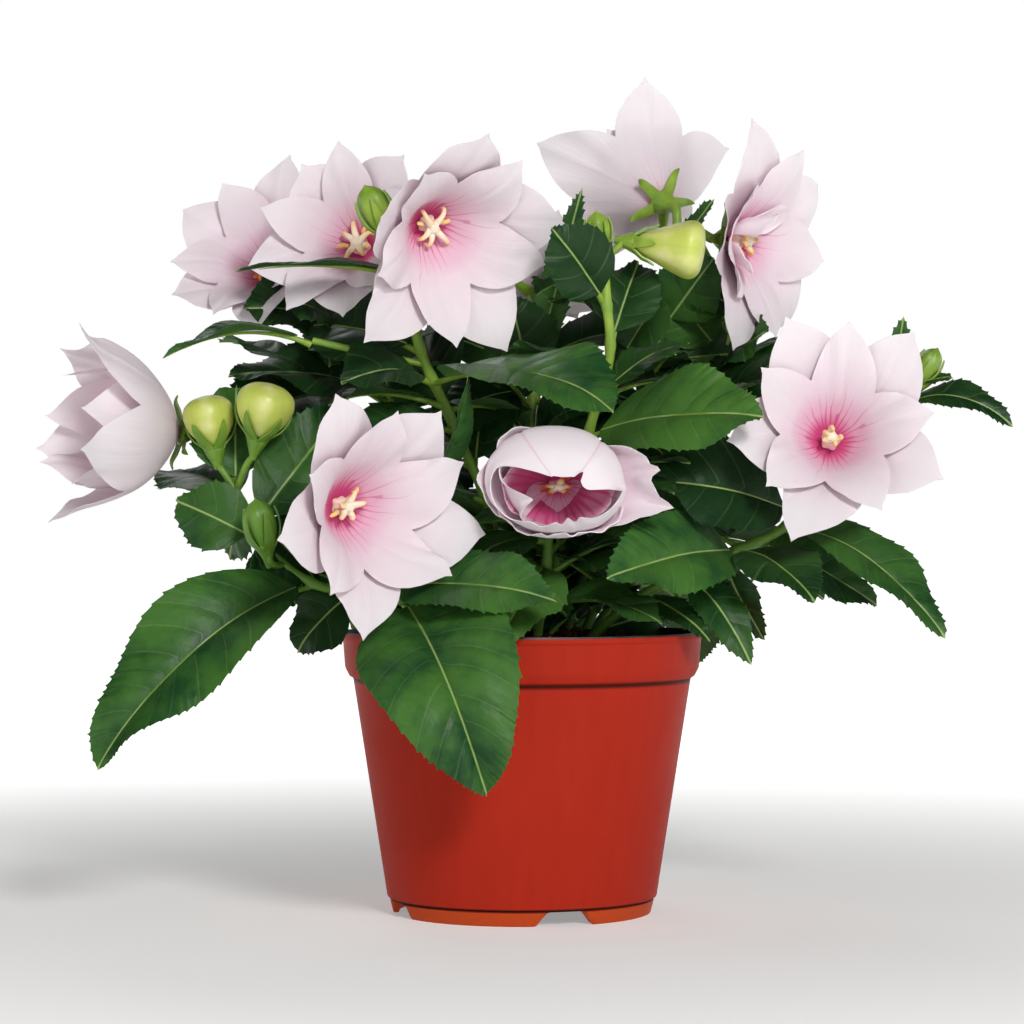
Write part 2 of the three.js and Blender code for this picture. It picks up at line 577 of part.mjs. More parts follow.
// One ring of five petals, joined in a bell below and pointed above, as one sheet round its centre.
function petalRing(opening, length, roll, { lean, turn, reach }, lift) {
  const points = [new THREE.Vector3(0, 0, lift)];
  const normals = [new THREE.Vector3(0, 0, 1)];

  function place(petal, offset, shareOfReach) {
    const own = Math.cos((Math.PI / 2) * offset) ** 2;
    const share = shareOfReach * (1 + (reach[petal] - 1) * own);
    const twist = turn[petal] * own * THREE.MathUtils.smoothstep(share, LEAN_START, 1);
    const around = radians(roll + ((petal + offset / 2) * 360) / PETALS + twist);
    const at = petalProfile(opening, length, lean[petal] * own);
    const { x: radius, y: height } = at(share);
    const slope = at(share).sub(at(Math.max(share - 1 / PETAL_STEPS, 0))).normalize();
    const [cos, sin] = [Math.cos(around), Math.sin(around)];
    points.push(new THREE.Vector3(radius * cos, radius * sin, height + lift));
    normals.push(new THREE.Vector3(-slope.y * cos, -slope.y * sin, slope.x));
    return points.length - 1;
  }

  const petals = lean.map((_, petal) => ({
    throat: place(petal, 0, THROAT_SHARE),
    bell: place(petal, 0, BELL_SHARE),
    bellSide: place(petal, 1, BELL_SHARE),
    notch: place(petal, 1, NOTCH_SHARE),
    belly: place(petal, 0, BELLY_SHARE),
    leftShoulder: place(petal, -SHOULDER_OFFSET, petalReach(SHOULDER_OFFSET)),
    point: place(petal, 0, 1),
    rightShoulder: place(petal, SHOULDER_OFFSET, petalReach(SHOULDER_OFFSET)),
  }));
  const triangles = [];
  const outline = [];
  petals.forEach((petal, i) => {
    const before = petals.at(i - 1);
    const next = petals[(i + 1) % PETALS];
    triangles.push([0, petal.throat, next.throat], [petal.throat, petal.bell, petal.bellSide]);
    triangles.push([petal.throat, petal.bellSide, next.throat], [next.throat, petal.bellSide, next.bell]);
    const rim = [petal.bell, before.bellSide, before.notch, petal.leftShoulder, petal.point,
      petal.rightShoulder, petal.notch, petal.bellSide];
    rim.forEach((corner, j) => triangles.push([petal.belly, corner, rim[(j + 1) % rim.length]]));
    outline.push(before.notch, petal.leftShoulder, petal.point, petal.rightShoulder);
  });
  return sheet(points, normals, triangles, outline, PETAL_THICKNESS);
}

// A double corolla: an outer and an inner ring of petals on one short core.
function corolla({ length, opening, roll, outer, inner }) {
  const tighter = opening.map((angle) => angle - INNER_RING_TIGHTER);
  const [outerLift, innerLift] = [SEAT_GAP + PETAL_THICKNESS / 2, SEAT_GAP + INNER_RING_LIFT];
  const coreEnds = [vector([0, 0, SEAT_GAP]), vector([0, 0, CORE_HEIGHT])];
  return joined([
    bar(...coreEnds, CORE_RADIUS, CORE_RADIUS, CORE_SIDES),
    petalRing(opening, length, roll + 180 / PETALS, outer, outerLift),
    petalRing(tighter, length * INNER_RING_SCALE, roll, inner, innerLift),
  ]);
}

// A five-armed star whose arms rise from their feet to their tips.
function star(foot, { reach, rise, footReach, thickness }, roll) {
  const corners = Array.from({ length: 2 * PETALS }, (_, i) => {
    const turn = radians(roll + (i * 180) / PETALS);
    const radius = i % 2 ? footReach : reach;
    return new THREE.Vector2(radius * Math.cos(turn), radius * Math.sin(turn));
  });
  const extrusion = { depth: thickness, bevelEnabled: false };
  const flat = new THREE.ExtrudeGeometry(new THREE.Shape(corners), extrusion).translate(0, 0, foot);
  return reshaped(flat, (point) => {
    const share = (Math.hypot(point.x, point.y) - footReach) / (reach - footReach);
    point.z += share * rise;
  });
}

// The style with its five-lobed stigma, and five stamens that lean away from it.
function heart({ roll }) {
  const foot = CORE_HEIGHT + SEAT_GAP;
  const onAxis = (height) => vector([0, 0, foot + height]);
  return joined([
    bar(onAxis(0), onAxis(OVARY_HEIGHT), OVARY_RADIUS, OVARY_TOP_RADIUS, PETALS),
    bar(onAxis(OVARY_HEIGHT / 2), onAxis(STYLE_HEIGHT), STYLE_RADIUS, STYLE_TOP_RADIUS, PETALS),
    solidOf(star(foot + STIGMA_HEIGHT, STIGMA, roll)),
    solidOf(star(foot + OVARY_HEIGHT / 2, STAMENS, roll + 180 / PETALS)),
  ]);
}

// A balloon bud: closed petals blown up into five cheeks, narrow below and flat on top.
function balloon({ length, width }) {
  const profile = BALLOON_PROFILE.map(([reach, height]) =>
    [(reach * width) / 2, SEAT_GAP + height * length]);
  return solidOf(reshaped(turned(profile, 2 * PETALS), foldedIn(PETALS, BALLOON_FOLD_DEPTH)));
}

// A small green bud: a ribbed cup with its sepals closed to a point.
function greenBud(base, facing, radius) {
  const profile = BUD_PROFILE.map(([reach, height]) => [reach * radius, height * radius]);
  const ribbed = reshaped(turned(profile, 2 * BUD_RIBS), foldedIn(BUD_RIBS, BUD_RIB_DEPTH));
  return solidOf(ribbed.applyMatrix4(frameAt(base, facing)));
}

// The green cup under a bloom or a balloon, with five narrow sepals that stand out from it.
function calyx({ base, facing }, radius, sepals) {
  const placed = frameAt(base, facing);
  const foot = vector([0, 0, -CALYX_LENGTH]).applyMatrix4(placed);
  const cup = bar(foot, vector(base), BRANCH_RADIUS, radius, STEM_SIDES);
  return cup.add(solidOf(star(-SEPAL_INSET, sepals, 180 / PETALS).applyMatrix4(placed)));
}

// The last way points of a line that ends in a calyx.
function endsIn({ base, facing }) {
  const along = heading(facing);
  return [-CALYX_LENGTH - STRAIGHT_END, 1 - CALYX_LENGTH].map((distance) =>
    vector(base).addScaledVector(along, distance));
}

function mainLine({ route, bloom }) {
  const line = route.map(vector);
  return bloom ? [...line, ...endsIn(BLOOMS[bloom])] : line;
}

// A leafy stem: its main tube, its branches, the cups of its blooms and balloons, its green buds and
// its leaves, in one solid.
function leafyStem(stem) {
  const lines = [mainLine(stem)];
  const parts = [tube(lines[0], STEM_RADIUS, STEM_SIDES)];
  if (stem.bloom) parts.push(calyx(BLOOMS[stem.bloom], CALYX_RADIUS, BLOOM_SEPALS));
  stem.branches.forEach((branch) => {
    const line = [pointOn(lines[0], branch.from), ...branch.route.map(vector)];
    if (branch.balloon) {
      line.push(endsIn(BALLOONS[branch.balloon])[1]);
      parts.push(calyx(BALLOONS[branch.balloon], BALLOON_CALYX_RADIUS, BALLOON_SEPALS));
    }
    if (branch.bud) parts.push(greenBud(line.at(-1), branch.points, branch.bud));
    parts.push(tube(line, BRANCH_RADIUS, BRANCH_SIDES));
    lines.push(line);
  });
  stem.leaves.forEach(([from, tip, width, arch, facing, line = 0]) => {
    parts.push(leaf(pointOn(lines[line], from), vector(tip), width, arch, facing));
  });
  return joined(parts);
}

// The pot is turned from one profile, and the arches in its foot and the drain holes are cut out.
function pot() {
  const floor = FLOOR_TOP - POT_WALL;
  const collarFoot = POT_HEIGHT - COLLAR_HEIGHT;
  const underside = [[0, floor], [FOOT_RADIUS - FOOT_WALL, floor], [FOOT_RADIUS - FOOT_WALL, 0]];
  const outside = [
    [FOOT_RADIUS, 0], [FOOT_RADIUS + FOOT_FLARE, FOOT_HEIGHT - FOOT_GROOVE],
    [BODY_FOOT_RADIUS, FOOT_HEIGHT], [BODY_TOP_RADIUS, collarFoot - COLLAR_STEP],
    [COLLAR_FOOT_RADIUS, collarFoot], [POT_RIM_RADIUS, POT_HEIGHT - LIP_HEIGHT],
    [POT_RIM_RADIUS, POT_HEIGHT],
  ];
  const inside = [
    [POT_RIM_RADIUS - POT_WALL, POT_HEIGHT], [COLLAR_FOOT_RADIUS - POT_WALL, collarFoot + INNER_STEP],
    [BODY_TOP_RADIUS - POT_WALL, collarFoot - INNER_STEP], [BODY_FOOT_RADIUS - POT_WALL, FLOOR_TOP],
    [0, FLOOR_TOP],
  ];
  let solid = solidOf(turned([...underside, ...outside, ...inside], POT_SIDES));
  const [half, top] = [FOOT_ARCH_WIDTH / 2, FOOT_ARCH_TOP_WIDTH / 2];
  const arch = [[-half, -1], [half, -1], [half, 0], [top, FOOT_ARCH_HEIGHT], [-top, FOOT_ARCH_HEIGHT],
    [-half, 0]];
  const archShape = new THREE.Shape(arch.map(([x, y]) => new THREE.Vector2(x, y)));
  for (let i = 0; i < FOOT_ARCHES; i++) {
    const cutter = new THREE.ExtrudeGeometry(archShape, { depth: ARCH_CUT_DEPTH, bevelEnabled: false });
    cutter.rotateX(Math.PI / 2);
    cutter.translate(0, (ARCH_CUT_DEPTH + FOOT_WALL) / 2 - FOOT_RADIUS, 0);
    cutter.rotateZ(radians(FIRST_ARCH_AZIMUTH + (i * 360) / FOOT_ARCHES));
    solid = solid.subtract(solidOf(cutter));
  }
  for (let i = 0; i < DRAIN_HOLES; i++) {
    const turn = (2 * Math.PI * i) / DRAIN_HOLES;
    const [x, y] = [DRAIN_HOLE_CIRCLE * Math.cos(turn), DRAIN_HOLE_CIRCLE * Math.sin(turn)];
    const ends = [vector([x, y, 0]), vector([x, y, FLOOR_TOP + POT_WALL])];
    solid = solid.subtract(bar(...ends, DRAIN_HOLE_RADIUS, DRAIN_HOLE_RADIUS, DRAIN_HOLE_SIDES));
  }
  return solid;
}

// The mix fills the pot to above the collar's foot, with a lumpy mounded top.
function soil() {
  const bottom = FLOOR_TOP + SEAT_GAP;
  const collarFoot = POT_HEIGHT - COLLAR_HEIGHT;
  const inset = POT_WALL + SOIL_WALL_GAP;
  const profile = [
    [0, bottom], [BODY_FOOT_RADIUS - inset, bottom],
    [BODY_TOP_RADIUS - inset - SEAT_GAP, collarFoot - SOIL_WALL_GAP],
    [COLLAR_FOOT_RADIUS - inset, collarFoot + 2 * SOIL_WALL_GAP],
    [COLLAR_FOOT_RADIUS - inset, SOIL_TOP - SOIL_EDGE_DROP],
    [SOIL_SHOULDER_RADIUS, SOIL_TOP + SOIL_SHOULDER_SHARE * SOIL_MOUND],
    [SOIL_CREST_RADIUS, SOIL_TOP + SOIL_MOUND], [0, SOIL_TOP + SOIL_MOUND],
  ];
  const lumpy = (point, turn) => {
    const radius = Math.hypot(point.x, point.y);
    if (point.z < SOIL_TOP || radius === 0) return;
    point.z += SOIL_LUMP * Math.sin(SOIL_LUMPS[0] * turn + radius) * Math.cos(SOIL_LUMPS[1] * turn - radius);
  };
  let solid = solidOf(reshaped(turned(profile, SOIL_SIDES), lumpy));
  Object.values(STEMS).forEach((stem) => {
    const line = mainLine(stem);
    line[0].z -= SEAT_GAP;
    solid = solid.subtract(tube(line, STEM_RADIUS + STEM_HOLE_GAP, STEM_SIDES));
  });
  return solid;
}

const plant = new THREE.Group();
plant.add(meshOf(pot(), "pot", TERRACOTTA));
plant.add(meshOf(soil(), "soil", POTTING_MIX));
Object.entries(STEMS).forEach(([name, stem]) => plant.add(meshOf(leafyStem(stem), name, LEAF_GREEN)));
Object.entries(BLOOMS).forEach(([name, bloom]) => {
  const place = new THREE.Group();
  place.applyMatrix4(frameAt(bloom.base, bloom.facing));
  place.scale.y = bloom.pressed;
  place.add(meshOf(corolla(bloom), name, PETAL_PINK));
  place.add(meshOf(heart(bloom), name.replace("bloom", "heart"), POLLEN_CREAM));
  plant.add(place);
});
Object.entries(BALLOONS).forEach(([name, bud]) => {
  const mesh = meshOf(balloon(bud), name, BUD_LIME);
  mesh.applyMatrix4(frameAt(bud.base, bud.facing));
  plant.add(mesh);
});

export default plant;
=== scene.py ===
import math
import random

import bmesh
import bpy
import numpy as np
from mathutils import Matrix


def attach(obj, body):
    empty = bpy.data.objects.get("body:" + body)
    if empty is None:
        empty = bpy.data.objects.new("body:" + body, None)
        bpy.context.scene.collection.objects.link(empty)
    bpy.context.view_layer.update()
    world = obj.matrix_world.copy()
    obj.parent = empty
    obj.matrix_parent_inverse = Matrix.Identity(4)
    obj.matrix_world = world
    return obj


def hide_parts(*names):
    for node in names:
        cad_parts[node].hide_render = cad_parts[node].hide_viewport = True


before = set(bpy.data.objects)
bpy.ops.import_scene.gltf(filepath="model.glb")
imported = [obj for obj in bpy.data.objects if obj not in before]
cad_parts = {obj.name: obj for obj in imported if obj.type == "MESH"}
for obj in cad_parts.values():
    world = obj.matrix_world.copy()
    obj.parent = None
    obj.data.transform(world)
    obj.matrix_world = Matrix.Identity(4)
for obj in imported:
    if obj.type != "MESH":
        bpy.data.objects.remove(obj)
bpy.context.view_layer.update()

# The view: straight from the front, level with the lower blooms, through a long lens a good metre away.
# It has no shift, and everything is in focus, as in a catalogue picture. Lengths here are millimetres.
MM = 0.001
CAMERA_PLACE = (-3.3, -1100, 132.4)
FOCAL_LENGTH = 116.6
SENSOR_WIDTH = 36

camera = bpy.data.objects.new("camera", bpy.data.cameras.new("camera"))
bpy.context.scene.collection.objects.link(camera)
camera.location = [length * MM for length in CAMERA_PLACE]
camera.rotation_euler = (math.radians(90), 0, 0)
camera.data.sensor_width = SENSOR_WIDTH
camera.data.lens = FOCAL_LENGTH
camera.data.clip_end = 100
bpy.context.scene.camera = camera


# The pot is one thin moulding of polypropylene with two layers, terracotta red outside and black inside.
# It has a rolled lip, a collar with a step under it, a foot ring with four arches, and drain holes.
POT_HEIGHT = 93
POT_WALL = 1.3
RIM_RADIUS = 60
COLLAR_HEIGHT = 15
COLLAR_FOOT_RADIUS = 58.4
BODY_TOP_RADIUS = 55.7
BODY_FOOT_RADIUS = 44.6
FOOT_HEIGHT = 5
FOOT_RADIUS = 42.6
FOOT_WALL = 1.8
FLOOR_TOP = 6.6
ARCH_HALF_WIDTH = 10
ARCH_TOP_HALF_WIDTH = 6
ARCH_HEIGHT = 4.8
FIRST_ARCH_AZIMUTH = 19
DRAIN_HOLES = 5
DRAIN_HOLE_RADIUS = 3.5
DRAIN_HOLE_CIRCLE = 30
LIP_ROWS = 2
POT_STEPS_ROUND = 240
CORNER_RADIUS = 0.5
SHARP_FROM = 52
POT_RED = "A02616"
POT_RED_LIT = "AB2C1B"
FOOT_ORANGE = "B4451F"
FOOT_GLOW = (5.2, 4.2)
# The colour of the painted shadow under the collar and above the foot, its strength and the heights of its
# two bands.
POT_PAINTED_SHADOW = "240D08"
PAINTED_SHADOW_SHARE = 0.9
COLLAR_PAINTED_SHADOW = (76, 77, 77.6, 78.3)
FOOT_PAINTED_SHADOW = (4.3, 4.8, 5.4, 5.9)
FLOW_WIDTH = 3.85
FLOW_LENGTH = 45.5
DUST_PATCH = 22.2
ORANGE_PEEL = 1.11
POT_BLACK = "17171A"
POT_CHALK = "55524F"
CHALK_PATCH = 8.33


def linear(colour):
    """Linear RGBA of an sRGB hex colour."""
    shares = [int(colour[i:i + 2], 16) / 255 for i in (0, 2, 4)]
    return [s / 12.92 if s <= 0.04045 else ((s + 0.055) / 1.055) ** 2.4 for s in shares] + [1]


def node(tree, kind, inputs, **settings):
    """Adds a node with its settings. An input is a value or the output that feeds it."""
    made = tree.nodes.new("ShaderNode" + kind)
    for name, value in settings.items():
        setattr(made, name, value)
    for socket, value in inputs.items():
        if isinstance(value, bpy.types.NodeSocket):
            tree.links.new(value, made.inputs[socket])
        else:
            made.inputs[socket].default_value = value
    return made


def per_metre(size):
    """The scale of a pattern whose marks have a size in mm."""
    return 1 / (size * MM)


def finish(name, **sockets):
    """A new material with constant values on its shader's sockets, its node tree and its shader."""
    made = bpy.data.materials.new(name)
    made.use_nodes = True
    shader = made.node_tree.nodes["Principled BSDF"]
    for socket, value in sockets.items():
        shader.inputs[socket.replace("_", " ")].default_value = value
    return made, made.node_tree, shader


def cover(tree, shader, colour, relief, strength, depth):
    """Puts a colour on a shader, and a relief with its strength and its depth in mm."""
    bump = node(tree, "Bump", {"Height": relief, "Strength": strength, "Distance": depth * MM}).outputs[0]
    tree.links.new(colour, shader.inputs["Base Color"])
    tree.links.new(bump, shader.inputs["Normal"])


def part(points, faces, marks=None, looks=None):
    """One closed surface: points in mm, faces, three pattern values for each point, a look for each face."""
    points = np.asarray(points, float).reshape(-1, 3)
    marks = np.zeros((len(points), 3)) if marks is None else np.asarray(marks, float).reshape(-1, 3)
    return points, list(faces), marks, list(looks) if looks is not None else [0] * len(faces)


def piece(name, parts, materials, slot, *nodes):
    """Makes one object of closed surfaces that stands for CAD nodes, and puts it on the plant's one body."""
    points, faces, marks, looks = [], [], [], []
    first = 0
    for part_points, part_faces, part_marks, part_looks in parts:
        points.append(part_points)
        marks.append(part_marks)
        faces += [[corner + first for corner in face] for face in part_faces]
        looks += part_looks
        first += len(part_points)
    mesh = bpy.data.meshes.new(name)
    mesh.from_pydata((np.vstack(points) * MM).tolist(), [], faces)
    pattern = mesh.attributes.new("pattern", "FLOAT_VECTOR", "POINT")
    pattern.data.foreach_set("vector", np.vstack(marks).astype(np.float32).ravel())
    for material in materials:
        mesh.materials.append(material)
    mesh.polygons.foreach_set("material_index", looks)
    outward = bmesh.new()
    outward.from_mesh(mesh)
    bmesh.ops.recalc_face_normals(outward, faces=outward.faces)
    outward.to_mesh(mesh)
    outward.free()
    mesh.shade_smooth()
    mesh.set_sharp_from_angle(angle=math.radians(SHARP_FROM))
    made = bpy.data.objects.new(name, mesh)
    bpy.context.scene.collection.objects.link(made)
    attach(made, "root")
    for replaced in nodes:
        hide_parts(replaced)
    return made


def ring_faces(rings, sides):
    """The quads between rings of points, then the two ends."""
    faces = []
    for first in range(0, (rings - 1) * sides, sides):
        for i in range(sides):
            beside = (i + 1) % sides
            faces.append([first + i, first + beside, first + sides + beside, first + sides + i])
    return faces + [list(range(sides)), list(range((rings - 1) * sides, rings * sides))]


def lathed(profile, steps):
    """A profile of (radius, height) turned about the axis: its grid of points and its faces."""
    turns = np.arange(steps) * 2 * np.pi / steps
    radii, heights = np.array(profile, float).T
    points = np.stack([radii[:, None] * np.cos(turns), radii[:, None] * np.sin(turns),
                       heights[:, None] + 0 * turns], axis=2)
    return points, ring_faces(len(profile), steps)


def rounded(corners, radius):
    """The corners of an open profile, each turned into a short arc of three points."""
    line = [corners[0]]
    for before, corner, after in zip(corners, corners[1:], corners[2:]):
        corner = np.array(corner, float)
        back, on = np.array(before) - corner, np.array(after) - corner
        cut = min(radius, np.hypot(*back) * 0.4, np.hypot(*on) * 0.4)
        start, end = corner + back / np.hypot(*back) * cut, corner + on / np.hypot(*on) * cut
        line += [start, corner * 0.5 + (start + end) * 0.25, end]
    return line + [corners[-1]]


def pot_piece():
    """The moulding: underside, outside and inside in one closed profile, then arches and drain holes."""
    collar_foot = POT_HEIGHT - COLLAR_HEIGHT
    underside = [(0.4, FLOOR_TOP - POT_WALL), (FOOT_RADIUS - FOOT_WALL - 1, FLOOR_TOP - POT_WALL),
                 (FOOT_RADIUS - FOOT_WALL, 0), (FOOT_RADIUS, 0)]
    outside = [(FOOT_RADIUS + 1.1, FOOT_HEIGHT - 0.6), (BODY_FOOT_RADIUS - 1.4, FOOT_HEIGHT - 0.1),
               (BODY_FOOT_RADIUS, FOOT_HEIGHT + 0.5), (BODY_TOP_RADIUS, collar_foot - 1.6),
               (BODY_TOP_RADIUS + 0.2, collar_foot - 0.4), (COLLAR_FOOT_RADIUS - 1.9, collar_foot),
               (COLLAR_FOOT_RADIUS - 1.2, collar_foot + 0.4), (COLLAR_FOOT_RADIUS + 0.2, collar_foot + 3.2),
               (RIM_RADIUS - 0.7, POT_HEIGHT - 2.6), (RIM_RADIUS, POT_HEIGHT - 2),
               (RIM_RADIUS, POT_HEIGHT - 0.9), (RIM_RADIUS - 0.25, POT_HEIGHT)]
    inside = [(RIM_RADIUS - POT_WALL, POT_HEIGHT), (COLLAR_FOOT_RADIUS - POT_WALL, collar_foot + 1),
              (BODY_TOP_RADIUS - POT_WALL, collar_foot - 1), (BODY_FOOT_RADIUS - POT_WALL, FLOOR_TOP),
              (0.4, FLOOR_TOP)]
    outer, inner = rounded(underside + outside, CORNER_RADIUS), rounded(inside, CORNER_RADIUS)
    profile = outer + inner
    points, faces = lathed(profile, POT_STEPS_ROUND)
    azimuths = np.degrees(np.arange(POT_STEPS_ROUND) * 2 * np.pi / POT_STEPS_ROUND)
    beside = (azimuths - 270 - FIRST_ARCH_AZIMUTH + 45) % 90 - 45
    across = np.abs(np.radians(beside) * FOOT_RADIUS)
    slope = np.clip((ARCH_HALF_WIDTH - across) / (ARCH_HALF_WIDTH - ARCH_TOP_HALF_WIDTH), 0, 1)
    points[:, :, 2] = np.where(np.array(profile)[:, 1:] < FOOT_HEIGHT - 0.3,
                               np.maximum(points[:, :, 2], ARCH_HEIGHT * slope), points[:, :, 2])
    in_black = [row >= len(outer) - LIP_ROWS for row in range(len(profile) - 1)]
    looks = [int(in_black[i // POT_STEPS_ROUND]) for i in range(len(faces) - 2)] + [0, 1]
    made = piece("pot_moulding", [part(points, faces, None, looks)], [pot_plastic, pot_lining],
                 "pot_shell", "pot")
    for i in range(DRAIN_HOLES):
        turn = 2 * math.pi * i / DRAIN_HOLES
        bpy.ops.mesh.primitive_cylinder_add(
            vertices=24, radius=DRAIN_HOLE_RADIUS * MM, depth=4 * POT_WALL * MM,
            location=(DRAIN_HOLE_CIRCLE * MM * math.cos(turn), DRAIN_HOLE_CIRCLE * MM * math.sin(turn),
                      (FLOOR_TOP - POT_WALL / 2) * MM))
        cutter = bpy.context.object
        hole = made.modifiers.new("hole", "BOOLEAN")
        hole.operation = "DIFFERENCE"
        hole.object = cutter
        bpy.context.view_layer.objects.active = made
        bpy.ops.object.modifier_apply(modifier=hole.name)
        bpy.data.objects.remove(cutter)
    return made


# Moulded polypropylene has a low sheen, faint flow marks down the wall and a fine orange peel. The thin
# foot ring lets more light through and looks more orange. Thin dark bands under the collar's step and
# above the foot ring are painted shadow, where the overhangs shade the wall.
pot_plastic, tree, shader = finish("moulded_polypropylene", Roughness=0.5, Specular_IOR_Level=0.06)
place = node(tree, "TexCoord", {}).outputs["Object"]
flow_scale = (per_metre(FLOW_WIDTH), per_metre(FLOW_WIDTH), per_metre(FLOW_LENGTH))
drawn_down = node(tree, "Mapping", {"Vector": place, "Scale": flow_scale}).outputs[0]
flow = node(tree, "TexNoise", {"Vector": drawn_down, "Scale": 1, "Detail": 3}).outputs[0]
dust = node(tree, "TexNoise", {"Vector": place, "Scale": per_metre(DUST_PATCH), "Detail": 5}).outputs[0]
height = node(tree, "SeparateXYZ", {0: place}).outputs[2]
thin = node(tree, "MapRange", {"Value": height, 1: FOOT_GLOW[0] * MM, 2: FOOT_GLOW[1] * MM}).outputs[0]
# Painted shadow: a dark band just under the collar's step and one just above the foot ring.
lines = []
for start, full, fading, gone in (COLLAR_PAINTED_SHADOW, FOOT_PAINTED_SHADOW):
    dark = node(tree, "MapRange", {"Value": height, 1: start * MM, 2: full * MM, 4: PAINTED_SHADOW_SHARE}).outputs[0]
    unshaded = node(tree, "MapRange", {"Value": height, 1: fading * MM, 2: gone * MM}).outputs[0]
    lines.append(node(tree, "Math", {0: dark, 1: unshaded}, operation="SUBTRACT", use_clamp=True).outputs[0])
painted_shadow = node(tree, "Math", {0: lines[0], 1: lines[1]}, operation="MAXIMUM").outputs[0]
shade = linear(POT_RED)
for share, over in ((flow, POT_RED_LIT), (thin, FOOT_ORANGE), (painted_shadow, POT_PAINTED_SHADOW)):
    shade = node(tree, "Mix", {0: share, 6: shade, 7: linear(over)}, data_type="RGBA").outputs[2]
worn = node(tree, "MapRange", {"Value": dust, 1: 0.3, 2: 0.75, 3: 0.44, 4: 0.58}).outputs[0]
tree.links.new(worn, shader.inputs["Roughness"])
peel = node(tree, "TexNoise", {"Vector": place, "Scale": per_metre(ORANGE_PEEL), "Detail": 2}).outputs[0]
cover(tree, shader, shade, peel, 0.08, 0.2)

# The inner layer is the same plastic in black, with a grey bloom of dried water.
pot_lining, tree, shader = finish("black_polypropylene", Roughness=0.5)
place = node(tree, "TexCoord", {}).outputs["Object"]
film = node(tree, "TexNoise", {"Vector": place, "Scale": per_metre(CHALK_PATCH), "Detail": 6}).outputs[0]
chalky = node(tree, "MapRange", {"Value": film, 1: 0.45, 2: 0.8, 3: 0, 4: 0.5}).outputs[0]
shade = node(tree, "Mix", {0: chalky, 6: linear(POT_BLACK), 7: linear(POT_CHALK)}, data_type="RGBA")
tree.links.new(shade.outputs[2], shader.inputs["Base Color"])

pot_piece()


# Potting mix: loose peat and coir, dark red-brown, mounded a little in the middle and broken into
# crumbs and short fibres. It fills the pot to just under the rim.
SOIL_TOP = 84.5
SOIL_MOUND = 8
SOIL_RADIUS = 56.4
SOIL_FOOT_RADIUS = 42
SOIL_STEPS_ROUND = 150
SOIL_RINGS = 60
CRUMBS = 700
CRUMB_SIZES = (0.7, 0.9, 1.2, 1.6, 2.3)
FIBRES = 160
FIBRE_RADII = (0.1, 0.22, 0.28, 0.28, 0.2, 0.1)
PEAT_GRAIN = 2.38
PEAT_DARK = "2A1710"
PEAT_LIGHT = "7A4028"

chance = random.Random(7)


def soil_height(x, y):
    """The uneven top of the mix at places in mm."""
    radius = np.hypot(x, y)
    mound = SOIL_MOUND * np.clip(1 - (radius / SOIL_RADIUS) ** 2, 0, 1)
    lumps = 0.9 * np.sin(x * 0.31 + 1.3) * np.cos(y * 0.27) + 0.6 * np.sin(x * 0.83 - y * 0.61)
    grains = 0.35 * np.sin(x * 2.3 + y * 1.1) * np.sin(y * 2.9 - x * 0.7)
    return SOIL_TOP + mound + lumps + grains


def crumb(place, size):
    """A small angular lump with its corners pushed in and out."""
    box = bmesh.new()
    bmesh.ops.create_icosphere(box, subdivisions=1, radius=size)
    stretch = [chance.uniform(0.6, 1.3) for _ in range(3)]
    points = [[place[k] + v.co[k] * stretch[k] * chance.uniform(0.7, 1.25) for k in range(3)]
              for v in box.verts]
    faces = [[v.index for v in f.verts] for f in box.faces]
    box.free()
    return part(points, faces, [[chance.random(), 0, 0]] * len(points))


def tube(line, radii, sides, mark):
    """A round closed bar along a line. Its pattern values are the share along it, a mark and zero."""
    line = np.asarray(line, float)
    radii = np.broadcast_to(np.asarray(radii, float), len(line))
    along = np.gradient(line, axis=0)
    along /= np.linalg.norm(along, axis=1)[:, None]
    side = np.cross(along[0], (0.31, 0.22, 0.93))
    turns = np.arange(sides) * 2 * np.pi / sides
    rings = []
    for place, direction, radius in zip(line, along, radii):
        side = side - direction * side.dot(direction)
        side /= np.linalg.norm(side)
        up = np.cross(direction, side)
        rings.append(place + radius * (np.outer(np.cos(turns), side) + np.outer(np.sin(turns), up)))
    shares = np.repeat(np.linspace(0, 1, len(line)), sides)
    marks = np.stack([shares, np.full_like(shares, mark), 0 * shares], axis=1)
    return part(np.vstack(rings), ring_faces(len(line), sides), marks)


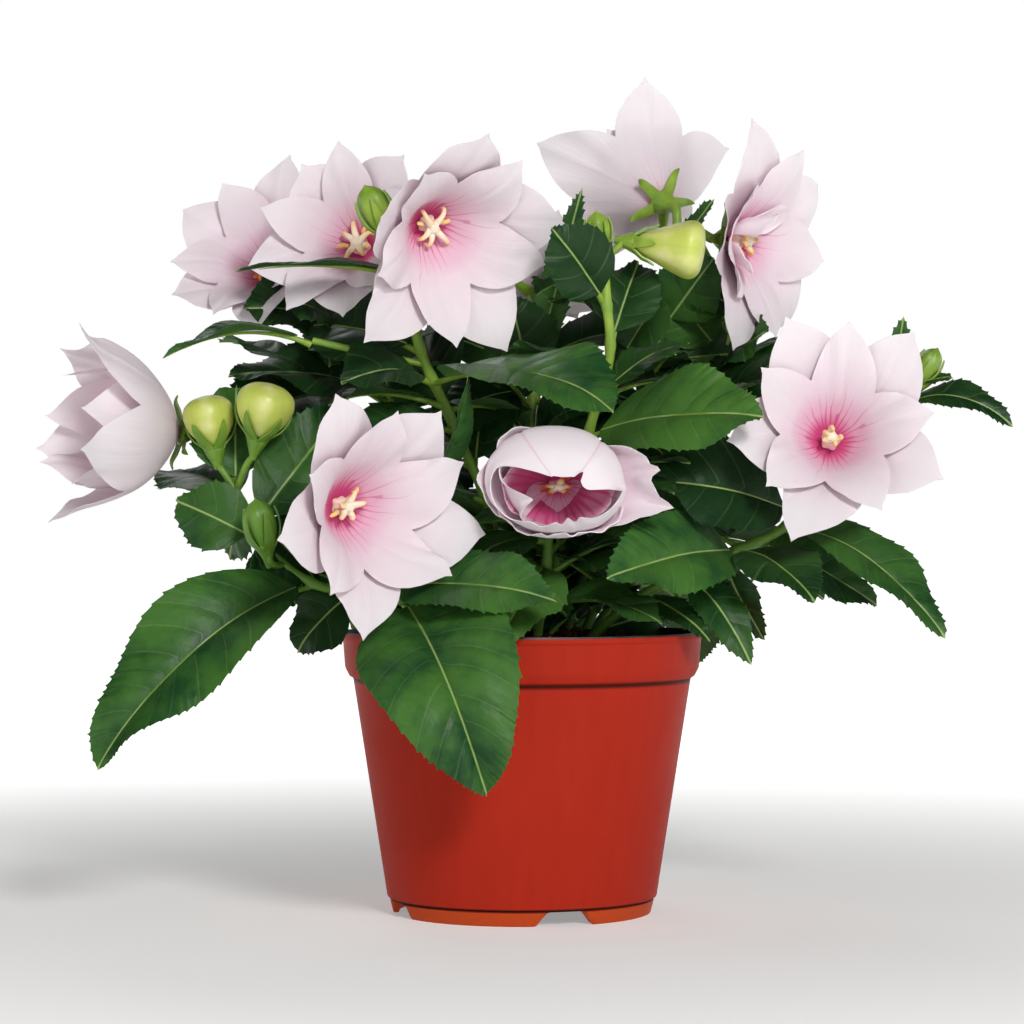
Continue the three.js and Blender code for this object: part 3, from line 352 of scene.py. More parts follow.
def soil_piece():
    """The mix as one body with an uneven top, with crumbs and fibres lying in it."""
    top = [(radius, SOIL_TOP) for radius in np.linspace(0.6, SOIL_RADIUS, SOIL_RINGS)]
    profile = top + [(SOIL_RADIUS, 79), (SOIL_RADIUS - 1.8, 76.5), (SOIL_FOOT_RADIUS, FLOOR_TOP + 0.3)]
    points, faces = lathed(profile, SOIL_STEPS_ROUND)
    points[:SOIL_RINGS, :, 2] = soil_height(points[:SOIL_RINGS, :, 0], points[:SOIL_RINGS, :, 1])
    parts = [part(points, faces, np.full(points.shape, (0.4, 0, 0)))]
    for _ in range(CRUMBS):
        radius, turn = SOIL_RADIUS * chance.random() ** 0.5 * 0.96, chance.uniform(0, 2 * math.pi)
        x, y = radius * math.cos(turn), radius * math.sin(turn)
        size = chance.choice(CRUMB_SIZES)
        parts.append(crumb((x, y, float(soil_height(x, y)) + size * 0.25), size))
    for _ in range(FIBRES):
        radius, turn = SOIL_RADIUS * chance.random() ** 0.5 * 0.9, chance.uniform(0, 2 * math.pi)
        heading_turn, bend = chance.uniform(0, 2 * math.pi), chance.uniform(-1, 1)
        reach = chance.uniform(3, 7)
        line = []
        for step in np.linspace(-1, 1, len(FIBRE_RADII)):
            x = radius * math.cos(turn) + step * reach * math.cos(heading_turn) - bend * step ** 2
            y = radius * math.sin(turn) + step * reach * math.sin(heading_turn) + bend * step ** 2
            scale = min(1, (SOIL_RADIUS - 1) / math.hypot(x, y))
            line.append((x * scale, y * scale, float(soil_height(x * scale, y * scale)) + 0.5 + step))
        parts.append(tube(line, FIBRE_RADII, 5, 1))
    return piece("potting_mix", parts, [peat], "potting_mix", "soil")


# Moist peat is almost black between its crumbs and red-brown where it has dried.
peat, tree, shader = finish("peat_and_coir", Roughness=0.9, Specular_IOR_Level=0.25)
place = node(tree, "TexCoord", {}).outputs["Object"]
tone = node(tree, "SeparateXYZ", {0: node(tree, "Attribute", {}, attribute_name="pattern").outputs["Vector"]})
grain = node(tree, "TexNoise", {"Vector": place, "Scale": per_metre(PEAT_GRAIN), "Detail": 6,
                                "Roughness": 0.7}).outputs[0]
mixed = node(tree, "Math", {0: grain, 1: tone.outputs[0]}, operation="MULTIPLY").outputs[0]
spread = node(tree, "MapRange", {"Value": mixed, 1: 0.08, 2: 0.55}).outputs[0]
shade = node(tree, "Mix", {0: spread, 6: linear(PEAT_DARK), 7: linear(PEAT_LIGHT)}, data_type="RGBA")
cover(tree, shader, shade.outputs[2], grain, 0.9, 0.8)

soil_piece()


# Where the plant grows. Each bloom and balloon bud has its place, the way it faces (azimuth and
# elevation in degrees, azimuth 0 to the front) and its size. Each petal of a ring leans out, turns and
# reaches in its own way. Each stem has a route from the mix, its branches, and its leaves: place on the
# line, tip, width, arch, the way the upper side faces, and branch.
STAR = (72, 39, 49, 69, 83)
FLAT_STAR = (66, 55, 66, 82, 94)
BELL = (70, 50, 30, 12, 38)
CLOSING = (78, 58, 30, 0, -20)

BLOOMS = {
    "side_left": dict(
        base=(-112.8, -12, 158.6), facing=(-66, 4), length=53, opening=BELL, roll=15,
        outer=dict(lean=(18, 0, 0, -6, -2), turn=(6, -4, 0, -2, 4), reach=(1.07, 0.9, 0.94, 1, 1)),
        inner=dict(lean=(-2, -40, 0, -12, 0), turn=(-4, 0, 14, -16, 0), reach=(1, 1.04, 1, 1.04, 1))
    ),
    "far_left": dict(
        base=(-83.5, 37, 212), facing=(-28, 30), length=41, opening=STAR, roll=45,
        outer=dict(lean=(0, 0, -4, 0, 0), turn=(0, 0, -10, -4, 0), reach=(1, 1, 0.88, 1, 1)),
        inner=dict(lean=(0, -2, 0, 0, 0), turn=(0, 8, 4, 0, 0), reach=(1, 1.06, 1.02, 1, 1))
    ),
    "upper_left": dict(
        base=(-52, 4, 219.5), facing=(-22, 16), length=39, opening=STAR, roll=22,
        outer=dict(lean=(0, 2, 0, -4, 0), turn=(-6, -4, 0, 4, 0), reach=(0.92, 0.86, 1, 0.88, 1)),
        inner=dict(lean=(0, 0, 0, 6, 0), turn=(0, 4, 0, 4, 0), reach=(1, 1.1, 1.08, 1.14, 1))
    ),
    "upper_middle": dict(
        base=(-32, -34.5, 226), facing=(31, -23), length=47, opening=STAR, roll=-16,
        outer=dict(lean=(0, -4, 0, 2, 0), turn=(-8, -6, 0, -4, -2), reach=(0.96, 0.92, 1, 1.02, 1.02)),
        inner=dict(lean=(0, 2, 0, 0, -2), turn=(8, 4, 0, 0, 8), reach=(1.04, 1.02, 1, 1, 1.04))
    ),
    "upper_back": dict(
        base=(47.5, 28, 238), facing=(-154, 25), length=43, opening=STAR, roll=51,
        outer=dict(lean=(0, 0, 0, 0, 0), turn=(-2, 2, 0, 0, 0), reach=(0.96, 1, 1, 1, 1.04)),
        inner=dict(lean=(0, 2, -4, 6, 0), turn=(0, 0, 0, 0, 0), reach=(1, 1, 1, 1, 1))
    ),
    "upper_right": dict(
        base=(69, 11, 223.5), facing=(55, -7), length=40, opening=FLAT_STAR, roll=68,
        outer=dict(lean=(10, -50, -14, 16, 8), turn=(4, 0, 0, -4, 2), reach=(1.06, 0.8, 1, 0.98, 1)),
        inner=dict(lean=(-6, -60, -30, 0, -10), turn=(0, 0, 0, 0, -2), reach=(1.1, 0.8, 0.9, 1, 1.08))
    ),
    "right": dict(
        base=(99.4, -26, 154.5), facing=(1, 15), length=44.5, opening=STAR, roll=6,
        outer=dict(lean=(0, 0, 0, 0, 0), turn=(8, 0, 4, -10, 0), reach=(1.02, 0.98, 0.92, 1.04, 0.97)),
        inner=dict(lean=(0, 0, -2, 0, 0), turn=(0, 4, -8, 0, 0), reach=(1, 1.08, 0.97, 1, 1.02))
    ),
    "front_left": dict(
        base=(-59.1, -63.5, 134.5), facing=(40, -4), length=47, opening=STAR, roll=16,
        outer=dict(lean=(0, -4, 2, 2, 0), turn=(2, -6, -4, -6, 10), reach=(0.93, 0.97, 1, 0.97, 1.03)),
        inner=dict(lean=(0, -4, 0, 0, -4), turn=(10, -4, 0, 0, 20), reach=(1.05, 0.97, 1, 1, 1.05))
    ),
    "front": dict(
        base=(11, -56, 141), facing=(3, -6), length=47, opening=CLOSING, roll=18, pressed=0.64,
        outer=dict(lean=(-30, -45, 15, 0, 60), turn=(0, 0, 10, 0, 0), reach=(0.9, 0.9, 1, 0.94, 1)),
        inner=dict(lean=(-50, -75, -50, 0, 5), turn=(0, 0, 0, 0, 0), reach=(1, 1, 1, 0.8, 0.8))
    ),
    "back": dict(
        base=(6, 30, 206), facing=(175, 38), length=33, opening=STAR, roll=30,
        outer=dict(lean=(4, -4, 8, 0, 4), turn=(4, 0, -4, 0, 2), reach=(1, 0.96, 1, 1, 0.98)),
        inner=dict(lean=(0, 4, -4, 6, 0), turn=(0, 4, 0, -4, 0), reach=(1, 1, 0.97, 1, 1))
    ),
}
BALLOONS = {
    "left": dict(base=(-99.5, -27, 153), facing=(-90, 80), length=17, width=17),
    "second": dict(base=(-85, -36, 156), facing=(60, 74), length=18, width=19),
    "upper": dict(base=(36.5, -34, 219), facing=(82, -8), length=22, width=19),
}
STEMS = {
    "left": dict(
        route=[(-14, -6, 70), (-18, -9, 88), (-40, -22, 104), (-66, -34, 109), (-82, -35, 121),
               (-92.5, -28, 139)],
        bloom="side_left",
        branches=[dict(at=5, route=[(-97, -28, 146)], balloon="left"),
                  dict(at=5, route=[(-89, -33, 147)], balloon="second"),
                  dict(at=3.6, route=[(-80, -42, 116), (-82, -43, 122)], bud=6.2, points=(-30, 70))],
        leaves=[(3.1, (-133, -62, 51.7), 44, 14, (-20, 30)), (2.5, (-72.6, -30, 87), 24, 4, (-20, 20)),
                (4.4, (-57, -12, 168), 27, 3, (10, 20)), (4.8, (-120, 24, 146), 30, 4, (-20, 60)),
                (4.7, (-95.7, -14, 117), 18, 3, (-10, 20)), (1.6, (-66, -8, 96), 26, 7, (-70, 60))]),
    "front_left": dict(
        route=[(-9, -16, 70), (-12, -24, 90), (-38, -40, 104), (-60, -48, 120)],
        bloom="front_left",
        leaves=[(2, (-11, -82, 45.3), 54, 20, (0, 25)), (2.2, (10.5, -80, 104.7), 30, 6, (-5, 45)),
                (2.5, (-17, -56, 176), 22, 7, (80, 0))]),
    "front": dict(
        route=[(4, -19, 70), (5, -23, 92), (8, -30, 118), (8, -36, 136)],
        bloom="front",
        leaves=[(1.9, (-8, -67, 90), 28, 5, (10, 40)), (2.3, (-24, -54, 112), 26, 4, (-30, 60)),
                (1.4, (44, -54, 97), 26, 6, (20, 55))]),
    "right": dict(
        route=[(16, -8, 70), (22, -10, 90), (44, -18, 108), (70, -22, 120), (86, -20, 128), (97, -12, 142)],
        bloom="right",
        branches=[dict(at=4.2, route=[(106, -10, 146), (121, -14, 165), (130, -18, 176)], bud=4.5,
                       points=(90, 60))],
        leaves=[(3, (26, -74, 112), 33, 5, (5, 28)), (3.3, (116.6, -10, 101.5), 28, 4, (-10, 45)),
                (4, (134.4, -45, 92.3), 27, 9, (20, 45)), (2.8, (79, -20, 90.7), 15, 3, (-40, 20)),
                (4.3, (42, -40, 142), 36, 6, (-20, 30)), (3, (92, -56, 104), 28, 5, (10, 50)),
                (2.3, (73.4, -36, 83.3), 17, 6, (10, 40)), (1.8, (60, -41, 91), 11, 4, (10, 40)),
                (2, (159, -25, 160), 16, 9, (0, 60), 1), (2.1, (124, -22, 196), 10, 2, (-20, 10), 1),
                (2.6, (140, -22, 176), 8, 2, (20, 60), 1)]),
    "upper_right": dict(
        route=[(17, 4, 70), (20, 5, 90), (40, 14, 130), (62, 24, 170), (70, 28, 200)],
        bloom="upper_right",
        leaves=[(2.7, (84, -20, 176), 34, 6, (-20, 45)), (2.2, (98, 26, 138), 32, 8, (90, 60)),
                (3.3, (104, 36, 188), 26, 6, (110, 60)), (1.8, (76, 22, 104), 30, 8, (90, 60)),
                (1.5, (64, -2, 136), 34, 6, (20, 40)), (3.6, (69, 62, 208), 24, 6, (170, 60))]),
    "upper_back": dict(
        route=[(12, 13, 70), (15, 14, 92), (30, 18, 140), (46, 20, 190), (51, 18, 215)],
        bloom="upper_back",
        leaves=[(3.6, (81, 14, 194.5), 19, 5, (0, 45)), (4.1, (64, 5, 236.6), 8, 2, (0, 40)),
                (2.6, (34, 68, 176), 34, 9, (170, 60)), (3.1, (58, 66, 186), 26, 6, (150, 60))]),
    "middle": dict(
        route=[(7, -4, 70), (8, -6, 92), (14, -16, 130), (22, -28, 160), (28, -35, 182), (27, -38, 200),
               (26, -37, 213)],
        branches=[dict(at=6, route=[(32, -34, 219)], balloon="upper"),
                  dict(at=5.8, route=[(25, -33, 218)], bud=4.6, points=(-20, 70))],
        leaves=[(2.9, (75.5, -62, 162), 40, 6, (0, 38)), (4.9, (9, -55, 222), 27, 3, (0, 15)),
                (4.2, (38, -18, 214), 25, 3, (0, 20)), (2.3, (48, -52, 138), 26, 5, (10, 60)),
                (1.6, (44, -28, 119), 30, 6, (20, 50)), (3.4, (54, -28, 187), 18, 4, (0, 60))]),
    "upper_middle": dict(
        route=[(-3, -5, 70), (-4, -6, 92), (-10, -10, 130), (-22, -16, 160), (-33, -25, 185),
               (-36.5, -31.5, 207)],
        bloom="upper_middle",
        branches=[dict(at=4.9, route=[(-41, -34, 214), (-44.5, -37, 223.5)], bud=6, points=(-50, 60)),
                  dict(at=3.8, route=[(-50, -24, 184), (-68, -24, 188)])],
        leaves=[(3.6, (28, -75, 163), 44, 10, (35, 50)), (2, (-116, -30, 182), 20, 6, (0, 86), 2),
                (5.1, (-92.5, -36, 209.4), 15, 3, (0, 80)), (3.6, (-57.6, -42, 173), 30, 5, (-10, 50)),
                (3.2, (-32, 26, 196), 36, 4, (-60, 40)), (4, (-72, 10, 194), 34, 5, (-70, 50)),
                (3, (-54, -34, 152), 28, 5, (-10, 50)), (2.2, (-42, -36, 134), 26, 5, (-20, 60)),
                (1.5, (-36, -28, 110), 32, 6, (-10, 40)), (1.2, (-24, -40, 98), 26, 5, (0, 50))]),
    "upper_left": dict(
        route=[(-10, 3, 70), (-12, 4, 92), (-22, 8, 135), (-44, 14, 170), (-56, 20, 192), (-56, 24, 208)],
        bloom="upper_left",
        leaves=[(3, (-97, -4, 177), 34, 6, (0, 60)), (2.3, (-64, -14, 140), 28, 6, (-50, 60)),
                (1.6, (-52, -16, 116), 34, 6, (-20, 40))]),
    "far_left": dict(
        route=[(-19, 3, 70), (-22, 4, 92), (-36, 12, 130), (-58, 26, 165), (-70, 36, 190)],
        bloom="far_left",
        leaves=[(2, (-92, 8, 112), 34, 9, (-80, 60)), (2.8, (-106, 40, 150), 34, 8, (-90, 60)),
                (3.3, (-98, -8, 160), 32, 5, (-10, 30)), (3.2, (-106, 64, 192), 28, 7, (-140, 60)),
                (1.5, (-72, 30, 88), 30, 9, (-100, 60))]),
    "back": dict(
        route=[(0, 8, 70), (0, 9, 92), (2, 14, 140), (4, 16, 180)],
        bloom="back",
        leaves=[(2.9, (20, 0, 240), 13, 2, (0, 20)), (2.7, (40, 2, 168), 32, 6, (10, 40)),
                (3.1, (42, 36, 190), 24, 8, (70, 50)), (2.8, (-30, 4, 160), 34, 5, (-10, 40)),
                (2.4, (-22, 48, 176), 28, 6, (-160, 60)), (2, (-8, 56, 150), 30, 8, (180, 60))]),
    "rear_left": dict(
        route=[(-12, 15, 70), (-14, 18, 92), (-30, 40, 130), (-44, 56, 160), (-50, 62, 180)],
        branches=[dict(at=4, route=[(-51, 64, 188)], bud=5, points=(-150, 80))],
        leaves=[(1.6, (-56, 78, 84), 42, 12, (-150, 50)), (2.2, (-84, 62, 128), 34, 9, (-120, 60)),
                (2.9, (-30, 96, 142), 32, 9, (180, 60)), (3.6, (-84, 72, 176), 26, 7, (-120, 60)),
                (3.8, (-34, 86, 196), 20, 4, (180, 40))]),
    "rear": dict(
        route=[(3, 19, 70), (4, 22, 92), (8, 46, 122), (8, 62, 150), (6, 68, 170)],
        branches=[dict(at=4, route=[(5, 70, 178)], bud=5.4, points=(180, 80))],
        leaves=[(1.5, (8, 98, 70), 44, 14, (180, 40)), (2.3, (-20, 92, 112), 30, 8, (-170, 60)),
                (2.8, (36, 107, 134), 32, 8, (160, 60)), (3.7, (22, 96, 182), 20, 5, (170, 50))]),
    "rear_right": dict(
        route=[(21, 14, 70), (24, 18, 92), (48, 40, 120), (66, 52, 148), (72, 56, 166)],
        branches=[dict(at=4, route=[(74, 58, 174)], bud=5, points=(130, 80))],
        leaves=[(1.6, (62, 76, 78), 40, 12, (140, 50)), (2.1, (104, 44, 102), 36, 10, (100, 60)),
                (2.7, (56, 96, 132), 30, 8, (160, 60)), (1.6, (-10, 44, 118), 30, 5, (-30, 40)),
                (3.2, (112, 62, 146), 30, 8, (110, 60)), (3.8, (86, 84, 176), 20, 5, (130, 50))]),
}


# Leaves: egg-shaped blades on short stalks, with small uneven forward teeth, a pale midrib in a groove,
# side veins that sweep towards the tip, and a skin that puffs up a little between the veins. Each one
# folds, twists and waves in its own way.
LEAF_STALK = 5
LEAF_STALK_HALF_WIDTH = 1.1
LEAF_FOLDS = (4, 22)
BROAD_LEAF = 40
BROAD_LEAF_FOLD = 12
LEAF_TWIST = 15
LEAF_SAG = 0.03
LEAF_WAVE = 0.062
LEAF_THICKNESS = 0.4
TOOTH_PITCHES = (2.4, 4.6)
TOOTH_DEPTHS = (0.5, 1.5)
TOOTH_PLACES = np.array((0, 0.4, 0.75, 0.93))
TOOTH_BITES = np.array((0, 0.2, 0.58, 1))
SIDE_VEIN_PITCH = 9
SIDE_VEIN_SWEEP = 0.62
SIDE_VEIN_STAGGER = 0.9
PUFF = 0.4
PUFFED_WIDTH = 30
VEIN_WANDER = 0.022
MIDRIB_GROOVE = 0.4
LEAF_COLUMNS = 13
SMALL_LEAF = 26
SMALL_LEAF_COLUMNS = 9


def heading(facing):
    """The direction of an azimuth and elevation in degrees."""
    azimuth, elevation = np.radians(facing)
    return np.array([np.sin(azimuth) * np.cos(elevation), -np.cos(azimuth) * np.cos(elevation),
                     np.sin(elevation)])


def unit(vectors):
    return vectors / np.linalg.norm(vectors, axis=-1, keepdims=True)


def smooth(value, low, high):
    """A share that rises softly from 0 at the low value to 1 at the high one."""
    share = np.clip((value - low) / (high - low), 0, 1)
    return share * share * (3 - 2 * share)


def on_line(route, places):
    """Points of the smooth line through way points, at places counted in way points from 0."""
    route = np.array(route, float)
    route = np.vstack([2 * route[0] - route[1], route, 2 * route[-1] - route[-2]])
    places = np.clip(np.atleast_1d(places), 0, len(route) - 3)
    first = np.minimum(places.astype(int), len(route) - 4)
    t = (places - first)[:, None]
    p0, p1, p2, p3 = (route[first + k] for k in range(4))
    v1, v2 = (p2 - p0) / 2, (p3 - p1) / 2
    return ((2 * p1 - 2 * p2 + v1 + v2) * t ** 3 + (3 * p2 - 3 * p1 - 2 * v1 - v2) * t ** 2
            + v1 * t + p1)


def sheet(points, normals, thickness, marks, round_closed=False):
    """A thin closed sheet on a grid of points, with look 0 on its upper face and 1 below."""
    rows, columns = points.shape[:2]
    half = (normals * np.asarray(thickness)[..., None] / 2)
    both = np.concatenate([(points + half).reshape(-1, 3), (points - half).reshape(-1, 3)])
    count = rows * columns
    faces, looks = [], []
    for first in range(0, count - columns, columns):
        for j in range(columns if round_closed else columns - 1):
            beside = (j + 1) % columns
            quad = [first + j, first + beside, first + columns + beside, first + columns + j]
            faces += [quad, [corner + count for corner in reversed(quad)]]
            looks += [0, 1]
    if round_closed:
        rims = [[j for j in range(columns)], [count - 1 - j for j in range(columns)]]
    else:
        rims = [[j for j in range(columns)] + [i * columns + columns - 1 for i in range(1, rows)]
                + [count - 2 - j for j in range(columns - 1)]
                + [i * columns for i in range(rows - 2, 0, -1)]]
    for rim in rims:
        for a, b in zip(rim, rim[1:] + rim[:1]):
            faces.append([b, a, a + count, b + count])
            looks.append(0)
    return part(both, faces, np.concatenate([marks.reshape(-1, 3)] * 2), looks)


def leaf_outline(share):
    """A blade's half width along its length, as a share of the widest."""
    return share ** 0.62 * (1 - share) ** 0.88 / 0.366


def midrib_frame(root, tip, arch, facing, t):
    """Points of a leaf's arched midrib, the way across the blade and the way out of its upper face."""
    face = heading(facing)
    crest = (root + tip) / 2 + 2 * arch * face
    t = np.asarray(t)[..., None]
    points = (1 - t) ** 2 * root + 2 * t * (1 - t) * crest + t ** 2 * tip
    along = unit(2 * (1 - t) * (crest - root) + 2 * t * (tip - crest))
    side = unit(np.cross(along, face))
    return points, side, np.cross(side, along)


def tooth_line(length, own):
    """Shares along the blade's edge, and how far its two edges stand out there."""
    starts = [0]
    while starts[-1] < length:
        starts.append(starts[-1] + own.uniform(*TOOTH_PITCHES))
    starts = np.array(starts) / starts[-1]
    share = np.append(starts[:-1, None] + np.diff(starts)[:, None] * TOOTH_PLACES, 1)
    depths = [[own.uniform(*TOOTH_DEPTHS) for _ in starts[1:]] for _ in range(2)]
    bites = [np.append(np.array(side)[:, None] * TOOTH_BITES, 0) for side in depths]
    return share, [bite * smooth(share, 0.03, 0.2) * smooth(1 - share, 0, 0.06) for bite in bites]


def leaf_blade(root, tip, width, arch, facing, tone, light):
    """One blade with its own teeth, fold, twist and waves, which its tone seeds, and its painted light."""
    own = random.Random(int(tone * 1e6))
    root, tip = np.array(root, float), np.array(tip, float)
    length = np.linalg.norm(tip - root)
    share, bites = tooth_line(length, own)
    across = np.linspace(-1, 1, SMALL_LEAF_COLUMNS if width < SMALL_LEAF else LEAF_COLUMNS)
    across = np.sign(across) * np.abs(across) ** 1.2
    half = width / 2 * leaf_outline(np.clip(share, 1e-4, 1 - 1e-4))
    edge_share = np.clip(share + SIDE_VEIN_SWEEP * half / length, 1e-4, 1 - 1e-4)
    edges = [np.maximum(width / 2 * leaf_outline(edge_share) - 0.4 + bite,
                        np.where(share < 0.5, LEAF_STALK_HALF_WIDTH, 0.12)) for bite in bites]
    s, u = np.meshgrid(across, share)
    edge = edge_share[:, None]
    reach = np.where(s < 0, edges[0][:, None], edges[1][:, None])
    t = u + (edge - u) * np.abs(s) ** 1.4
    stalk = LEAF_STALK / length
    middle, side, normal = midrib_frame(root, tip, arch, facing, stalk + (1 - stalk) * t)
    turns = [own.uniform(0, 2 * np.pi) for _ in range(4)]
    twist = np.radians(own.uniform(-LEAF_TWIST, LEAF_TWIST)) * smooth(t, 0.1, 0.9)
    twist = (twist + np.radians(LEAF_TWIST) * 0.5 * t * np.sin(5 * t + turns[0]))[..., None]
    cos, sin = np.cos(twist), np.sin(twist)
    side, normal = side * cos + normal * sin, normal * cos - side * sin
    broad = BROAD_LEAF_FOLD if width > BROAD_LEAF else 0
    fold = np.radians(own.uniform(*LEAF_FOLDS) + broad + 5 * np.sin(5 * t + turns[1]))
    out = np.abs(s) * reach
    vein_count = max(4, round(length / SIDE_VEIN_PITCH))
    uneven = VEIN_WANDER * np.sin(9 * u + turns[0] + s) + VEIN_WANDER * np.sin(23 * u + turns[2]) / 2
    phase = np.pi * vein_count * (u + uneven) + SIDE_VEIN_STAGGER * np.sign(s)
    waves = np.where(s > 0, np.sin(10 * u + turns[2]), np.sin(12 * u + turns[3]))
    body = np.sin(np.pi * np.clip(u, 0, 1)) ** 0.5
    folded = np.sin(fold) * out * (1 - out / width)
    puffed = PUFF * min(1, width / PUFFED_WIDTH) * body
    puffed = puffed * np.abs(np.sin(phase)) ** 0.7 * np.sin(np.pi * np.abs(s)) ** 0.6
    groove = MIDRIB_GROOVE * np.exp(-(out / 0.9) ** 2) * body
    waved = LEAF_WAVE * width * np.abs(s) ** 2.2 * waves * body
    sagged = LEAF_SAG * length * np.sin(7 * t + turns[0]) * t * (1 - t)
    rise = folded + puffed - groove + waved + sagged
    points = middle + side * (s * reach * np.cos(fold))[..., None] + normal * rise[..., None]
    thickness = LEAF_THICKNESS * (1 - 0.5 * np.abs(s))
    marks = np.stack([s * reach, phase, np.full_like(s, light)], axis=2)
    return sheet(points, normal, thickness, marks)


# A living leaf has a satin skin, dark green above with a thin pale midrib and faint side veins, and
# paler and duller below. The skin is painted a little lighter where it puffs up between the side veins,
# a painted highlight. Leaves whose tips reach out at the front are painted lighter and olive, a painted
# light, and the others darker green, a painted shade, each mixed with a random share too.
LEAF_PAINTED_SHADE = "122D15"
LEAF_DARK = "1D4522"
LEAF_MID = "3F6A29"
LEAF_OLIVE_PAINTED_LIGHT = "4D7430"
MIDRIB = "A3BC6E"
UNDERSIDE = "5E8A4C"
LEAF_PATCH = 22.7
LEAF_CRINKLE = 3.03
LEAF_SHOWS_THROUGH = (0.5, 1, 0.2)


def leaf_finish(name, dark, middle, roughness, vein_strength):
    """One side of a leaf. Its pattern values are mm from the midrib, the side veins' phase and the painted
    light.
    """
    made, tree, shader = finish(name, Roughness=roughness, Specular_IOR_Level=0.2,
                                Subsurface_Weight=0.1, Subsurface_Scale=0.001)
    shader.inputs["Subsurface Radius"].default_value = LEAF_SHOWS_THROUGH
    pattern = node(tree, "Attribute", {}, attribute_name="pattern").outputs["Vector"]
    across, phase, tone = node(tree, "SeparateXYZ", {0: pattern}).outputs
    place = node(tree, "TexCoord", {}).outputs["Object"]
    patches = node(tree, "TexNoise", {"Vector": place, "Scale": per_metre(LEAF_PATCH), "Detail": 5,
                                      "Roughness": 0.6}).outputs[0]
    wave = node(tree, "Math", {0: node(tree, "Math", {0: phase}, operation="SINE").outputs[0]},
                operation="ABSOLUTE").outputs[0]
    # Random patches, with a painted highlight where the skin puffs up between the side veins.
    patches_and_puff_highlight = node(tree, "Math", {0: wave, 1: 0.07, 2: patches}, operation="MULTIPLY_ADD").outputs[0]
    tone_and_puff_highlight = node(tree, "MapRange", {"Value": patches_and_puff_highlight, 1: 0.4, 2: 0.64}).outputs[0]
    # Painted shade and painted light: a low third pattern value mixes in deep green, a high one olive.
    inner = node(tree, "MapRange", {"Value": tone, 1: 0, 2: 0.66, 3: 0.9, 4: 0}).outputs[0]
    outer = node(tree, "MapRange", {"Value": tone, 1: 0.7, 2: 1, 4: 0.7}).outputs[0]
    beside = node(tree, "Math", {0: across}, operation="ABSOLUTE").outputs[0]
    midrib = node(tree, "MapRange", {"Value": beside, 1: 0.12, 2: 0.5, 3: vein_strength, 4: 0},
                  interpolation_type="SMOOTHSTEP").outputs[0]
    side = node(tree, "MapRange", {"Value": wave, 1: 0.02, 2: 0.13, 3: 0.13 * vein_strength, 4: 0}).outputs[0]
    veins = node(tree, "Math", {0: midrib, 1: side}, operation="MAXIMUM").outputs[0]
    shade = linear(dark)
    for share, over in ((tone_and_puff_highlight, middle), (inner, LEAF_PAINTED_SHADE), (outer, LEAF_OLIVE_PAINTED_LIGHT), (veins, MIDRIB)):
        shade = node(tree, "Mix", {0: share, 6: shade, 7: linear(over)}, data_type="RGBA").outputs[2]
    crinkle = node(tree, "TexNoise", {"Vector": place, "Scale": per_metre(LEAF_CRINKLE), "Detail": 4})
    height = node(tree, "Math", {0: wave, 1: 0.35, 2: crinkle.outputs[0]},
                  operation="MULTIPLY_ADD").outputs[0]
    cover(tree, shader, shade, height, 0.5, 0.6)
    worn = node(tree, "MapRange", {"Value": patches, 1: 0.3, 2: 0.7, 3: roughness - 0.06, 4: roughness + 0.1})
    tree.links.new(worn.outputs[0], shader.inputs["Roughness"])
    return made


leaf_upper = leaf_finish("leaf_upper_skin", LEAF_DARK, LEAF_MID, 0.42, 0.75)
leaf_under = leaf_finish("leaf_underside", UNDERSIDE, UNDERSIDE, 0.6, 0.85)


# Stalks: smooth round stems, a little thicker at each leaf, yellow-green where they are young and
# greener below. With them go the leaf stalks and midribs, the cups and sepals, and the green buds.
STEM_RADIUS = 1.6
BRANCH_RADIUS = 1.15
STRAIGHT_END = 5
CALYX_LENGTH = 7
CALYX_RADIUS = 4.4
BALLOON_CALYX_RADIUS = 3.5
SEPAL_WIDTH = 4
SEPAL_THICKNESS = 0.55
SEPAL_ROWS = 9
SEPAL_COLUMNS = 5
PETALS = 5
BLOOM_SEPAL = ((2.5, -0.9), (6, 0.3), (8.5, -0.3))
BALLOON_SEPAL = ((0.3, 0.02), (0.62, 0.16), (0.84, 0.34), (0.95, 0.5))
PEAR_SHAPED = "upper"
PEAR_SEPAL = ((0.3, 0.02), (0.44, 0.1), (0.52, 0.2), (0.66, 0.32))
SEPAL_CLEAR = 0.75
BUD_PROFILE = ((0, -0.5), (0.4, -0.3), (0.75, 0.15), (0.98, 0.7), (1.06, 1.3), (0.92, 1.85), (0.6, 2.2),
               (0.2, 2.42), (0.03, 2.55))
BUD_SLIM = 0.84
BUD_SEPAL = ((0.35, -0.35), (0.85, 0.15), (1.1, 0.7), (1.16, 1.3), (1.02, 1.95))
BUD_SEPAL_WIDTH = 0.6
BUD_CUP = ((0.42, -0.4), (0.66, 0.1), (0.3, 0.25))


def frame_at(base, facing):
    """A function that places points of a bloom's own frame, whose z axis is the way it faces."""
    along = heading(facing)
    right = heading((facing[0] + 90, 0))
    axes = np.stack([right, np.cross(along, right), along])
    return lambda points: np.asarray(points, float) @ axes + np.array(base, float)


def ends_in(grown):
    """The last two points of the stalk that carries a bloom or balloon bud."""
    along = heading(grown["facing"])
    return [np.array(grown["base"]) - along * (CALYX_LENGTH + back) for back in (STRAIGHT_END, -1)]


def placed(made, place):
    """A surface with its points moved by a function."""
    points, faces, marks, looks = made
    return place(points), faces, marks, looks


def scaled(profile, across, up):
    """A profile of (reach, height) made wider and taller."""
    return [(reach * across, height * up) for reach, height in profile]


